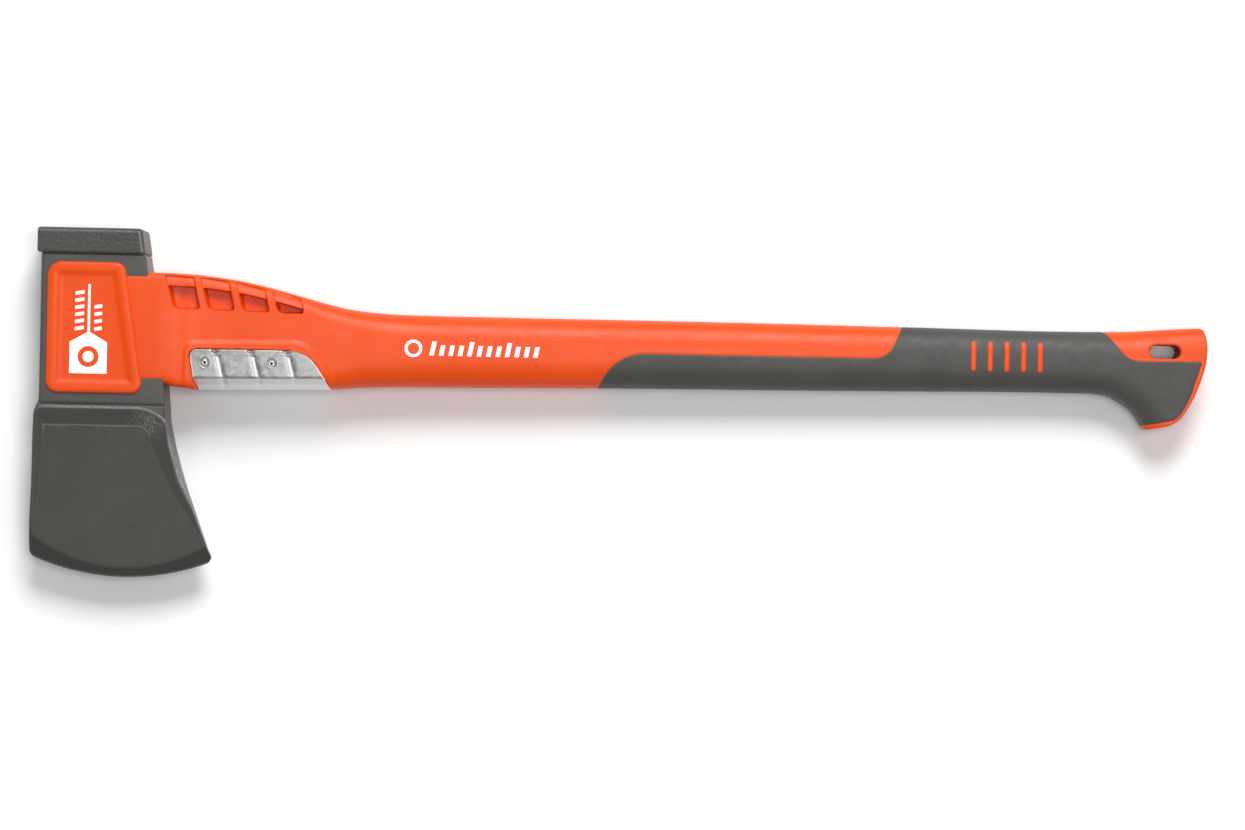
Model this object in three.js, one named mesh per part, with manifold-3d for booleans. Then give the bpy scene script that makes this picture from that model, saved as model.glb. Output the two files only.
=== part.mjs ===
// A splitting axe. A forged wedge head with a hammer poll is moulded into a hollow composite handle, which
// carries a soft grip, a riveted steel guard under its neck and a plug that closes its bore.
//
// Every piece is drawn in the tool's own axes, in millimetres. X runs from the blade's toe side to the butt,
// Y from the cutting edge to the hammer face, and Z is the thickness, with the tool's mid-plane at z = 0.
// The finished group is then laid on its side, resting on its head and its butt on the plane z = 0.
import * as THREE from "three";
import { mergeVertices } from "three/addons/utils/BufferGeometryUtils.js";
import Module from "manifold-3d";

const wasm = await Module();
wasm.setup();

// ---------------------------------------------------------------- overall sizes and clearances
const TOOL_LENGTH = 700;
const HEAD_HALF = 24; // half thickness of the poll collar and of the shoulder above the blade
const POLL_Y = 68; // the hammer face
const EDGE_Y = -139.3; // lowest point of the cutting edge
const GAP = 0.3; // left between neighbouring pieces
const FAR = 60; // reach of a cutter that has to pass right out of the tool

// ---------------------------------------------------------------- head
const collar = { left: 3.6, rightTop: 65.4, rightBottom: 67.8, height: 15, overhang: 2.4, chamfer: 1.2 };
const body = { left: 6, rightTop: 67.6, rightBottom: 80.4, half: HEAD_HALF - collar.overhang, chamfer: 1.2 };
const shoulder = { start: -33, crest: -37, end: -44 };
const blade = {
  toeTop: 3, // the toe side leans out from here, at the shoulder, to x = 0 at the edge
  right: 108, // the heel end of the cutting edge
  heelIn: [20.5, 10.5], // how far the hollow heel side stands in from the edge's end, at two heights
  heelAt: [0.3, 0.57], // those heights, as shares of the way from the shoulder to the edge
  edgeRadius: 138,
  edgeMiddle: 57, // x of the edge's lowest point
  middleAt: 0.38, // share of the way down at which the wedge has its middle half thickness
  middleHalf: 13.5,
  bevelWidth: 6.5,
  bevelHalf: 3.6,
  edgeHalf: 0.4,
  cornerX: 1.5, // the edge's arc stops this far in from either corner
  past: 2, // how far the cheeks run on past the edge before they are cut there
};
const hollow = { top: -49.6, topHalf: 16, land: 0.3, left: 9, right: 68.5, toeRound: 4, heelRound: 7, reach: 12 };

// ---------------------------------------------------------------- joint between head and handle
const opening = { left: 15, rightTop: 49.4, rightBottom: 60.6, top: 43.4, bottom: -26, round: 5 };
const wallHalf = 13; // the head's handle-side wall, thinned where the moulding wraps it
const wallReach = 7.5; // how far the thinned wall's cutter passes the neck above and below
const cheek = { left: 10, rightTop: 55.6, rightBottom: 67.8, top: 47.8, bottom: -29.8 };
const flange = { rise: 2.1, round: 6.5, chamfer: 0.8, sink: 0.4 }; // of the cheek plates
const panel = { depth: 0.9, border: 7.4, round: 4 };

// ---------------------------------------------------------------- handle
const neck = { start: 41, half: body.half + 0.6, top: 42.4, bottom: -23.3, overlap: 1.9, wrapEnd: 80.6 };
const shaft = { start: 224, half: 14.6, top: 20.3, bottom: -21.6, gripTop: 19, gripBottom: -17.8 };
const butt = { top: 22.6, hook: -38.6, half: 16 };
const bore = { start: 214, end: TOOL_LENGTH - 56, wall: 6.4 };
const vent = { radius: 5, y: -9, start: TOOL_LENGTH - 72 };
const slot = { fromButt: 25.4, y: 8, length: 18.2, width: 7.9 };
const pocket = { first: 84.4, pitch: 20.5, width: 16, bottom: 20.4, round: 3, lintel: 7.5, depth: 8, count: 4 };
const pocketLean = { left: 0.265, right: 0.22 }; // mm towards the head for each mm up
const ledge = { below: 1.9, depth: 2.8, overlap: 0.5 };

// ---------------------------------------------------------------- grip
const grip = { thickness: 2.6 };
const bars = { count: 5, fromButt: 139.6, pitch: 9.93, y: 3, length: 18.2, width: 3.1 };

// ---------------------------------------------------------------- guard and rivets
const guard = { start: 94.6, end: 178.5, top: -2.6, bottom: -26.8, half: 17.6, sheet: 1.2, lean: 1.1 };
const fold = { side: -19.6, facet: -23.6, facetHalf: 13.4, soleHalf: 7 };
const rib = { first: 112.2, pitch: 21.2, count: 3, top: -6, bottom: -19, width: 3.4, depth: 0.5, lean: 13 };
const rivet = { x: [103.4, 143.1], y: -10.4, shank: 1.5, head: 2.1, dome: 0.9, length: 7 };

// ================================================================ helpers

/** A closed three.js geometry as a solid that can be joined and cut. */
function solid(geometry) {
  const bare = geometry.index ? geometry.toNonIndexed() : geometry.clone();
  bare.deleteAttribute("normal");
  bare.deleteAttribute("uv");
  const merged = mergeVertices(bare, 1e-4);
  const mesh = new wasm.Mesh({
    numProp: 3,
    vertProperties: merged.getAttribute("position").array,
    triVerts: new Uint32Array(merged.index.array),
  });
  return new wasm.Manifold(mesh);
}

/** The geometry mirrored in the tool's mid-plane, with its faces turned back outwards. */
function mirrored(geometry) {
  const copy = geometry.index ? geometry.toNonIndexed() : geometry.clone();
  copy.scale(1, 1, -1);
  const position = copy.getAttribute("position");
  const a = new THREE.Vector3();
  const b = new THREE.Vector3();
  for (let i = 0; i < position.count; i += 3) {
    a.fromBufferAttribute(position, i);
    b.fromBufferAttribute(position, i + 1);
    position.setXYZ(i, b.x, b.y, b.z);
    position.setXYZ(i + 1, a.x, a.y, a.z);
  }
  return copy;
}

/** The same shape on both sides of the mid-plane, as one solid. */
function onBothSides(geometry) {
  return solid(geometry).add(solid(mirrored(geometry)));
}

/** A named mesh of a finished solid. */
function piece(name, shape, material) {
  const mesh = shape.getMesh();
  const geometry = new THREE.BufferGeometry();
  geometry.setAttribute("position", new THREE.BufferAttribute(mesh.vertProperties, 3));
  geometry.setIndex(new THREE.BufferAttribute(mesh.triVerts, 1));
  geometry.computeVertexNormals();
  const made = new THREE.Mesh(geometry, material);
  made.name = name;
  return made;
}

/** The corners of an outline moved out by a distance, with outer rounds grown and inner ones shrunk. */
function grown(corners, distance) {
  return corners.map(([x, y, radius = 0], i) => {
    const here = new THREE.Vector2(x, y);
    const before = new THREE.Vector2(...corners.at(i - 1).slice(0, 2)).sub(here).normalize();
    const after = new THREE.Vector2(...corners[(i + 1) % corners.length].slice(0, 2)).sub(here).normalize();
    const turn = after.cross(before);
    const half = Math.acos(THREE.MathUtils.clamp(before.dot(after), -1, 1)) / 2;
    const inward = before.add(after).normalize().multiplyScalar(Math.sign(turn));
    const moved = here.addScaledVector(inward, -distance / Math.sin(half));
    return [moved.x, moved.y, radius ? Math.max(radius + Math.sign(turn) * distance, 0.1) : 0];
  });
}

/** A closed outline through corners [x, y, radius], each rounded by an arc of its radius. */
function outline(corners) {
  const shape = new THREE.Shape();
  corners.forEach(([x, y, radius = 0], i) => {
    const here = new THREE.Vector2(x, y);
    if (!radius) {
      if (i === 0) shape.moveTo(x, y);
      else shape.lineTo(x, y);
      return;
    }
    const before = new THREE.Vector2(...corners.at(i - 1).slice(0, 2)).sub(here).normalize();
    const after = new THREE.Vector2(...corners[(i + 1) % corners.length].slice(0, 2)).sub(here).normalize();
    const half = Math.acos(before.dot(after)) / 2;
    const reach = radius / Math.tan(half);
    const start = here.clone().addScaledVector(before, reach);
    const end = here.clone().addScaledVector(after, reach);
    const middle = before.clone().add(after).normalize().multiplyScalar(radius / Math.sin(half)).add(here);
    const clockwise = after.cross(before) < 0;
    shape.absarc(
      middle.x,
      middle.y,
      radius,
      start.sub(middle).angle(),
      end.sub(middle).angle(),
      clockwise,
    );
  });
  shape.closePath();
  return shape;
}

/** A slot-shaped outline with half-round ends, centred on a point and running along X or along Y. */
function obround(x, y, length, width, alongY) {
  const radius = width / 2;
  const reach = length / 2 - radius;
  const turn = alongY ? Math.PI / 2 : 0;
  const stepX = reach * Math.cos(turn);
  const stepY = reach * Math.sin(turn);
  const shape = new THREE.Shape();
  shape.absarc(x + stepX, y + stepY, radius, turn - Math.PI / 2, turn + Math.PI / 2, false);
  shape.absarc(x - stepX, y - stepY, radius, turn + Math.PI / 2, turn + (3 * Math.PI) / 2, false);
  shape.closePath();
  return shape;
}

/** An outline in X and Y as a prism from one z to another, with its edges chamfered by edge. */
function prism(shape, low, high, edge = 0, curveSegments = 3) {
  const geometry = new THREE.ExtrudeGeometry(shape, {
    depth: high - low - 2 * edge,
    bevelEnabled: edge > 0,
    bevelThickness: edge,
    bevelSize: edge,
    bevelOffset: -edge,
    bevelSegments: 1,
    curveSegments,
  });
  return geometry.translate(0, 0, low + edge);
}

/** The value at x of a smooth curve through points [x, y] that never overshoots them, level beyond its ends. */
function through(points) {
  const rate = (i) => (points[i + 1][1] - points[i][1]) / (points[i + 1][0] - points[i][0]);
  const slopes = points.map((_, i) => {
    if (i === 0 || i === points.length - 1) return 0;
    const before = rate(i - 1);
    const after = rate(i);
    return before * after <= 0 ? 0 : (2 * before * after) / (before + after);
  });
  return (x) => {
    if (x <= points[0][0]) return points[0][1];
    if (x >= points.at(-1)[0]) return points.at(-1)[1];
    const i = points.findIndex((point) => point[0] > x) - 1;
    const [x0, y0] = points[i];
    const [x1, y1] = points[i + 1];
    const width = x1 - x0;
    const t = (x - x0) / width;
    const rise = y1 - y0;
    const bend = (slopes[i] * width - rise) * (1 - t) + (rise - slopes[i + 1] * width) * t;
    return y0 + t * rise + t * (1 - t) * bend;
  };
}

/** A sine or cosine bent so that the circle it belongs to becomes squarer; 2 leaves it round. */
function flattened(value, power) {
  return Math.abs(value) < 1e-6 ? 0 : Math.sign(value) * Math.abs(value) ** (2 / power);
}

/** A closed tube along X through the stations; section(x) gives its middle, height, width and squareness. */
function loft(stations, section, sides) {
  const rows = stations.length - 1;
  const geometry = new THREE.CylinderGeometry(1, 1, 1, sides, rows);
  const position = geometry.getAttribute("position");
  for (let i = 0; i < position.count; i++) {
    const x = stations[Math.round((0.5 - position.getY(i)) * rows)];
    const { middle, up, side, power } = section(x);
    const reach = Math.hypot(position.getX(i), position.getZ(i));
    const angle = Math.atan2(position.getX(i), position.getZ(i));
    const rise = flattened(Math.cos(angle), power);
    const spread = flattened(Math.sin(angle), power);
    position.setXYZ(i, x, middle + reach * up * rise, -reach * side * spread);
  }
  return geometry;
}

// ================================================================ head

/** x of the head's handle-side face at a height y. */
function bodyRight(y) {
  const share = (POLL_Y - collar.height - y) / (POLL_Y - collar.height - shoulder.start);
  return body.rightTop + share * (body.rightBottom - body.rightTop);
}

/** The hammer poll: a block that stands proud of the body all round. */
function collarBlock() {
  const low = POLL_Y - collar.height;
  const round = 2 * collar.chamfer;
  const shape = outline([
    [collar.left, low, round],
    [collar.rightBottom, low, round],
    [collar.rightTop, POLL_Y, round],
    [collar.left, POLL_Y, round],
  ]);
  return solid(prism(shape, -HEAD_HALF, HEAD_HALF, collar.chamfer, 2));
}

/** The eye part of the head, from the collar down to the shoulder. */
function bodyBlock() {
  const low = shoulder.crest;
  const high = POLL_Y - collar.height / 2;
  const shape = outline([
    [body.left, low],
    [bodyRight(low), low],
    [bodyRight(high), high],
    [body.left, high],
  ]);
  return solid(prism(shape, -body.half, body.half, body.chamfer));
}

/** The height at a share of the way down the blade, from the shoulder to the edge. */
function downBlade(share) {
  return THREE.MathUtils.lerp(shoulder.end, EDGE_Y, share);
}

/** The wedge seen from its cheek: toe side, cutting edge and hollow heel side. */
function bladeOutline() {
  const middleY = EDGE_Y + blade.edgeRadius;
  const { cornerX } = blade;
  const toe = Math.acos((blade.edgeMiddle - cornerX) / blade.edgeRadius);
  const heel = Math.acos((blade.right - cornerX - blade.edgeMiddle) / blade.edgeRadius);
  const toeY = middleY - blade.edgeRadius * Math.sin(toe);
  const heelY = middleY - blade.edgeRadius * Math.sin(heel);
  const shape = new THREE.Shape();
  shape.moveTo(body.left, shoulder.start);
  shape.lineTo(blade.toeTop, shoulder.end);
  shape.lineTo(0, toeY + 2.6 * cornerX);
  shape.quadraticCurveTo(0, toeY + 0.4 * cornerX, cornerX, toeY);
  shape.absarc(blade.edgeMiddle, middleY, blade.edgeRadius, Math.PI + toe, 2 * Math.PI - heel, false);
  shape.quadraticCurveTo(blade.right + 0.4 * cornerX, heelY + 0.4 * cornerX, blade.right - 0.6, heelY + 3);
  shape.splineThru([
    new THREE.Vector2(blade.right - blade.heelIn[1], downBlade(blade.heelAt[1])),
    new THREE.Vector2(blade.right - blade.heelIn[0], downBlade(blade.heelAt[0])),
    new THREE.Vector2(bodyRight(shoulder.end) - 1, shoulder.end),
    new THREE.Vector2(bodyRight(shoulder.start), shoulder.start),
  ]);
  shape.closePath();
  return shape;
}

/** The wedge seen from the heel, carried across the whole width of the blade. */
function wedgeBlock() {
  const bevelY = EDGE_Y + blade.bevelWidth;
  const side = [
    [shoulder.start, body.half],
    [shoulder.crest, HEAD_HALF],
    [shoulder.end, HEAD_HALF],
  ];
  const cheekCurve = new THREE.SplineCurve([
    new THREE.Vector2(shoulder.end, HEAD_HALF),
    new THREE.Vector2(downBlade(blade.middleAt), blade.middleHalf),
    new THREE.Vector2(bevelY, blade.bevelHalf),
    new THREE.Vector2(EDGE_Y - blade.past, blade.bevelHalf - blade.edgeHalf),
  ]);
  const fall = cheekCurve.getPoints(9).slice(1);
  const half = [...side, ...fall.map((point) => [point.x, point.y])];
  const shape = new THREE.Shape();
  half.forEach(([y, z], i) => (i ? shape.lineTo(-z, y) : shape.moveTo(-z, y)));
  half.toReversed().forEach(([y, z]) => shape.lineTo(z, y));
  shape.closePath();
  const across = prism(shape, -FAR, blade.right + FAR);
  return solid(across.rotateY(Math.PI / 2));
}

/** A disc with a double-cone rim, which gives the cutting edge its curved bevel. */
function bevelDisc() {
  const slope = (blade.bevelHalf - blade.edgeHalf) / blade.bevelWidth;
  const inner = blade.edgeRadius - (FAR - blade.edgeHalf) / slope;
  const outer = blade.edgeRadius + blade.edgeHalf / slope;
  const profile = [
    new THREE.Vector2(0, -FAR),
    new THREE.Vector2(inner, -FAR),
    new THREE.Vector2(outer, 0),
    new THREE.Vector2(inner, FAR),
    new THREE.Vector2(0, FAR),
  ];
  const disc = new THREE.LatheGeometry(profile, 144);
  disc.rotateX(Math.PI / 2);
  return solid(disc.translate(blade.edgeMiddle, EDGE_Y + blade.edgeRadius, 0));
}

/** The tool that sinks a cheek: flat floor along the wedge, with walls that slope out at 45 degrees. */
function cheekHollow() {
  const fall = hollow.top - EDGE_Y;
  const angle = Math.atan2(hollow.topHalf - blade.bevelHalf - hollow.land, fall);
  const shape = outline([
    [hollow.right, 0, hollow.heelRound],
    [hollow.left, 0, hollow.toeRound],
    [blade.toeTop - 4, -fall],
    [blade.toeTop - 4, -fall - FAR],
    [blade.right + FAR, -fall - FAR],
    [blade.right - 2, downBlade(0.81) - hollow.top],
  ]);
  const cutter = new THREE.ExtrudeGeometry(shape, {
    depth: FAR,
    bevelThickness: hollow.reach,
    bevelSize: hollow.reach,
    bevelSegments: 1,
    curveSegments: 3,
  });
  cutter.translate(0, 0, hollow.reach);
  cutter.rotateX(angle);
  return onBothSides(cutter.translate(0, hollow.top, hollow.topHalf));
}

/** The corners of the through opening in the head, which the moulding fills. */
function openingCorners() {
  return [
    [opening.left, opening.bottom, opening.round],
    [opening.rightBottom, opening.bottom, opening.round],
    [opening.rightTop, opening.top, opening.round],
    [opening.left, opening.top, opening.round],
  ];
}

/** The handle-side wall of the eye, thinned so that the moulding can wrap it. */
function eyeWall(extra) {
  const low = neck.bottom - wallReach;
  const high = neck.top + wallReach;
  const slant = (opening.rightBottom - opening.rightTop) / (opening.top - opening.bottom);
  const innerX = (y) => opening.rightTop + (opening.top - y) * slant;
  const shape = outline([
    [innerX(low) - extra, low],
    [bodyRight(low) + extra, low],
    [bodyRight(high) + extra, high],
    [innerX(high) - extra, high],
  ]);
  return prism(shape, -wallHalf - extra, wallHalf + extra);
}

/** The room that the neck takes in the head, on both sides of the thinned wall. */
function neckRoom() {
  const shape = outline([
    [neck.start - GAP, neck.bottom - GAP],
    [neck.start + FAR, neck.bottom - GAP],
    [neck.start + FAR, neck.top + GAP],
    [neck.start - GAP, neck.top + GAP],
  ]);
  return solid(prism(shape, -FAR, FAR)).subtract(solid(eyeWall(0)));
}

function headSolid() {
  const wedge = solid(prism(bladeOutline(), -FAR, FAR, 0, 6)).intersect(wedgeBlock()).intersect(bevelDisc());
  const blank = collarBlock().add(bodyBlock()).add(wedge.subtract(cheekHollow()));
  return blank.subtract(solid(prism(outline(openingCorners()), -FAR, FAR))).subtract(neckRoom());
}

// ================================================================ handle

/** Distance from the toe side of a point measured back from the end of the butt. */
function fromButt(distance) {
  return TOOL_LENGTH - distance;
}

const topAt = through([
  [neck.start, neck.top],
  [80, neck.top],
  [104, neck.top - 1.3],
  [128, neck.top - 4.6],
  [152, 32.2],
  [176, 25.8],
  [197, 21.8],
  [222, shaft.top + 0.3],
  [250, shaft.top + 0.1],
  [fromButt(200), shaft.top - 0.5],
  [fromButt(100), shaft.gripTop],
  [fromButt(62), shaft.gripTop + 0.5],
  [fromButt(36), butt.top - 2],
  [fromButt(5), butt.top],
  [fromButt(2.2), butt.top - 2.2],
  [fromButt(0.6), butt.top - 6.8],
  [TOOL_LENGTH, butt.top - 11],
]);

const bottomAt = through([
  [neck.start, neck.bottom],
  [neck.wrapEnd, neck.bottom],
  [neck.wrapEnd + 4, neck.bottom - neck.overlap],
  [97, guard.bottom],
  [guard.end, shaft.bottom - 3.4],
  [200, shaft.bottom - 1.6],
  [232, shaft.bottom - 0.8],
  [290, shaft.bottom],
  [fromButt(240), shaft.bottom + 2],
  [fromButt(120), shaft.gripBottom],
  [fromButt(68), shaft.gripBottom - 0.2],
  [fromButt(56), shaft.gripBottom - 2.3],
  [fromButt(45), shaft.gripBottom - 9.6],
  [fromButt(39), butt.hook + 5.5],
  [fromButt(36.8), butt.hook + 1.2],
  [fromButt(34), butt.hook + 0.2],
  [fromButt(28), butt.hook + 1.2],
  [fromButt(20), butt.hook + 3.4],
  [fromButt(14), butt.hook + 8.3],
  [fromButt(8), butt.hook + 19],
  [fromButt(2.6), butt.hook + 33],
  [fromButt(0.6), butt.hook + 42],
  [TOOL_LENGTH, butt.hook + 48.5],
]);

const halfAt = through([
  [neck.start, neck.half],
  [84, neck.half - 0.4],
  [96, guard.half + 2],
  [guard.end, guard.half + 0.6],
  [210, shaft.half + 0.4],
  [260, shaft.half],
  [fromButt(240), shaft.half - 0.5],
  [fromButt(100), shaft.half - 0.3],
  [fromButt(45), butt.half],
  [fromButt(9), butt.half],
  [fromButt(2.6), butt.half - 1.6],
  [TOOL_LENGTH, butt.half - 6],
]);

const squareAt = through([
  [neck.start, 9],
  [100, 7],
  [190, 3.2],
  [260, 2.5],
  [fromButt(60), 2.5],
  [fromButt(30), 3],
  [TOOL_LENGTH, 3],
]);

/** The handle's cross-section at x, shrunk all round by a depth. */
function sectionAt(x, depth) {
  const top = topAt(x) - depth;
  const bottom = bottomAt(x) + depth;
  return { middle: (top + bottom) / 2, up: (top - bottom) / 2, side: halfAt(x) - depth, power: squareAt(x) };
}

/** Stations from one x to another, no further apart than the step. */
function stations(from, to, step) {
  const count = Math.ceil((to - from) / step);
  return Array.from({ length: count + 1 }, (_, i) => from + ((to - from) * i) / count);
}

/** Stations along the butt, closer together where its hook and its end curve away. */
function buttStations(end) {
  const back = [70, 64, 58, 53, 49, 45, 42, 39, 36.8, 34, 28, 22, 17, 12, 8, 5, 2.6, 1.2, 0.5, 0];
  return back.filter((distance) => distance >= end).map(fromButt);
}

/** The outside of the whole handle. */
function handleOutside() {
  const along = [
    neck.start,
    neck.wrapEnd,
    neck.wrapEnd + 4,
    ...stations(neck.wrapEnd + 13, shaft.start, 10),
    ...stations(shaft.start + 30, fromButt(100), 60),
    ...buttStations(0),
  ];
  return solid(loft(along, (x) => sectionAt(x, 0), 24));
}

/** The handle's inner body where the grip is moulded over it, at a depth below the outside. */
function underGrip(depth) {
  const along = [...stations(fromButt(400), fromButt(100), 60), ...buttStations(1)];
  return solid(loft(along, (x) => sectionAt(x, depth), 20));
}

/** The corners of the area that the grip covers, seen from the side. */
function gripCorners() {
  return [
    [fromButt(384), -FAR],
    [fromButt(50), -FAR],
    [fromButt(45), butt.hook + 0.8],
    [fromButt(16.4), butt.hook + 6.2, 8],
    [fromButt(9.6), butt.hook + 21, 40],
    [fromButt(3.2), 2.4, 1],
    [fromButt(46.8), 1.9, 14],
    [fromButt(94.8), FAR],
    [fromButt(166), FAR],
    [fromButt(190), 0.5, 14],
    [fromButt(351.8), 0.3, 28],
  ];
}

/** The raised bars of the handle that show through the grip, or the slots in the grip for them. */
function barBlocks(clearance, low) {
  let blocks = null;
  for (let i = 0; i < bars.count; i++) {
    const x = fromButt(bars.fromButt) + i * bars.pitch;
    const shape = obround(x, bars.y, bars.length + 2 * clearance, bars.width + 2 * clearance, true);
    const pair = onBothSides(prism(shape, low, FAR));
    blocks = blocks ? blocks.add(pair) : pair;
  }
  return blocks;
}

/** The flanged plate on each cheek of the head, with its sunk panel. */
function cheekPlates() {
  const corners = [
    [cheek.left, cheek.bottom, flange.round],
    [cheek.rightBottom, cheek.bottom, flange.round],
    [cheek.rightTop, cheek.top, flange.round],
    [cheek.left, cheek.top, flange.round],
  ];
  const low = body.half + GAP;
  const high = body.half + flange.rise;
  const inner = grown(corners, -panel.border).map(([x, y]) => [x, y, panel.round]);
  const sunk = prism(outline(inner), high - panel.depth, high + FAR);
  return onBothSides(prism(outline(corners), low, high, flange.chamfer)).subtract(onBothSides(sunk));
}

/** The plug of plastic that fills the head's opening and joins the two cheek plates. */
function bridge() {
  const corners = grown(openingCorners(), -GAP);
  const reach = body.half + GAP + flange.sink;
  return solid(prism(outline(corners), -reach, reach));
}

/** x of a pocket's left or right edge (side -1 or 1) at a height y; both lean towards the head as they rise. */
function pocketEdge(index, y, side) {
  const lean = side < 0 ? pocketLean.left : pocketLean.right;
  const foot = pocket.first + index * pocket.pitch + (side > 0 ? pocket.width : 0);
  return foot - lean * (y - pocket.bottom);
}

/** The outline of a pocket between two depths below the handle's top edge; bottom null means its floor line. */
function pocketCorners(index, below, bottom) {
  const rise = (side) => {
    const start = pocketEdge(index, pocket.bottom, side);
    const y = topAt(start) - below;
    const x = pocketEdge(index, y, side);
    return [x, topAt(x) - below];
  };
  const [leftX, leftY] = rise(-1);
  const [rightX, rightY] = rise(1);
  if (bottom === null) {
    const round = Math.min(pocket.round, (rightY - pocket.bottom) / 3);
    return [
      [pocketEdge(index, pocket.bottom, -1), pocket.bottom, round],
      [pocketEdge(index, pocket.bottom, 1), pocket.bottom, round],
      [rightX, rightY],
      [leftX, leftY],
    ];
  }
  const lowLeft = leftY - bottom;
  const lowRight = rightY - bottom;
  return [
    [pocketEdge(index, lowLeft, -1), lowLeft],
    [pocketEdge(index, lowRight, 1), lowRight],
    [rightX, rightY],
    [leftX, leftY],
  ];
}

/** The blind pockets that core out the neck, each under a shallow ledge along the top edge. */
function pocketCutter() {
  let cutter = null;
  for (let i = 0; i < pocket.count; i++) {
    const deep = prism(outline(pocketCorners(i, pocket.lintel, null)), pocket.depth, FAR);
    const band = outline(pocketCorners(i, ledge.below, pocket.lintel - ledge.below + ledge.overlap));
    const shallow = prism(band, halfAt(pocketEdge(i, pocket.bottom, -1)) - ledge.depth, FAR);
    const both = onBothSides(deep).add(onBothSides(shallow));
    cutter = cutter ? cutter.add(both) : both;
  }
  return cutter;
}

/** The hollow of the shaft and the narrow vent that leaves it through the end of the butt. */
function boreCutter() {
  const along = stations(bore.start, bore.end, 36);
  const hollowShaft = loft(along, (x) => sectionAt(x, bore.wall), 16);
  return solid(hollowShaft).add(ventRod(vent.radius, vent.start, TOOL_LENGTH + FAR));
}

/** A rod along the vent. */
function ventRod(radius, from, to) {
  const rod = new THREE.CylinderGeometry(radius, radius, to - from, 24);
  rod.rotateZ(Math.PI / 2);
  return solid(rod.translate((from + to) / 2, vent.y, 0));
}

/** The hole that the tool hangs by. */
function hangSlot() {
  const shape = obround(fromButt(slot.fromButt), slot.y, slot.length, slot.width, false);
  return solid(prism(shape, -FAR, FAR, 0, 4));
}

function coreSolid(outside) {
  const bareArea = solid(prism(outline(grown(gripCorners(), GAP)), -FAR, FAR, 0, 4));
  const shell = outside.subtract(bareArea).add(underGrip(grip.thickness + GAP));
  const barred = shell.add(barBlocks(0, shaft.half - grip.thickness - 3).intersect(outside));
  const moulded = barred.add(cheekPlates()).add(bridge()).subtract(solid(eyeWall(GAP)));
  return moulded
    .subtract(pocketCutter())
    .subtract(boreCutter())
    .subtract(hangSlot())
    .subtract(guardRecess())
    .subtract(rivetBores());
}

function gripSolid(outside) {
  const area = solid(prism(outline(gripCorners()), -FAR, FAR, 0, 4));
  const slots = barBlocks(GAP, 0);
  return outside.intersect(area).subtract(underGrip(grip.thickness)).subtract(slots);
}

// ================================================================ guard and fasteners

/** The guard's folded section, seen along the handle, moved in by a depth, and carried along X. */
function guardBlock(depth) {
  const lower = guard.bottom + depth;
  const shape = new THREE.Shape();
  shape.moveTo(-guard.half + depth, FAR);
  shape.lineTo(-guard.half + depth, fold.side + 0.4 * depth);
  shape.lineTo(-fold.facetHalf + 0.6 * depth, fold.facet + 0.7 * depth);
  shape.lineTo(-fold.soleHalf, lower);
  shape.lineTo(fold.soleHalf, lower);
  shape.lineTo(fold.facetHalf - 0.6 * depth, fold.facet + 0.7 * depth);
  shape.lineTo(guard.half - depth, fold.side + 0.4 * depth);
  shape.lineTo(guard.half - depth, FAR);
  shape.closePath();
  const block = prism(shape, -FAR, guard.end + FAR);
  block.rotateY(Math.PI / 2);
  block.translate(-guard.start, 0, 0);
  block.rotateZ(THREE.MathUtils.degToRad(guard.lean));
  return solid(block.translate(guard.start, 0, 0));
}

/** The guard seen from the side: a square front, and a long curved rear that runs out at the bottom. */
function guardCorners() {
  return [
    [guard.start + 7.6, -FAR],
    [guard.end + 18, -FAR],
    [guard.end - 5.6, -19.5, 60],
    [guard.end - 11, guard.top, 17],
    [guard.start, guard.top, 3],
    [guard.start + 1.2, -12, 30],
  ];
}

/** The room for the guard in the handle. */
function guardRecess() {
  const area = solid(prism(outline(grown(guardCorners(), GAP)), -FAR, FAR));
  return area.subtract(guardBlock(guard.sheet + GAP));
}

/** The stiffening grooves that are pressed into the guard's sides. */
function guardRibs() {
  let cutter = null;
  for (let i = 0; i < rib.count; i++) {
    const groove = prism(obround(0, 0, rib.top - rib.bottom, rib.width, true), guard.half - rib.depth, FAR);
    groove.rotateZ(THREE.MathUtils.degToRad(rib.lean));
    groove.translate(rib.first + i * rib.pitch, (rib.top + rib.bottom) / 2, 0);
    const pair = onBothSides(groove);
    cutter = cutter ? cutter.add(pair) : pair;
  }
  return cutter;
}

function guardSolid() {
  const area = solid(prism(outline(guardCorners()), -FAR, FAR));
  const sheet = guardBlock(0).intersect(area).subtract(guardBlock(guard.sheet));
  return sheet.subtract(guardRibs()).subtract(rivetBores());
}

/** The holes that the rivets pass through, in the guard and in the handle. */
function rivetBores() {
  const radius = rivet.shank + GAP;
  const depth = rivet.length + GAP;
  let bores = null;
  for (const x of rivet.x) {
    const hole = new THREE.CylinderGeometry(radius, radius, depth + FAR, 16);
    hole.rotateX(Math.PI / 2);
    hole.translate(x, rivet.y, guard.half - depth + (depth + FAR) / 2);
    const pair = onBothSides(hole);
    bores = bores ? bores.add(pair) : pair;
  }
  return bores;
}

/** A blind rivet, standing along +Z on z = 0: shank below, domed head with its spent mandrel's dimple above. */
function rivetProfile() {
  return [
    new THREE.Vector2(0, -rivet.length),
    new THREE.Vector2(rivet.shank, -rivet.length),
    new THREE.Vector2(rivet.shank, GAP),
    new THREE.Vector2(rivet.head, GAP),
    new THREE.Vector2(rivet.head * 0.85, GAP + rivet.dome * 0.6),
    new THREE.Vector2(rivet.head * 0.45, GAP + rivet.dome),
    new THREE.Vector2(rivet.head * 0.3, GAP + rivet.dome * 0.4),
    new THREE.Vector2(0, GAP + rivet.dome * 0.4),
  ];
}

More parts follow.
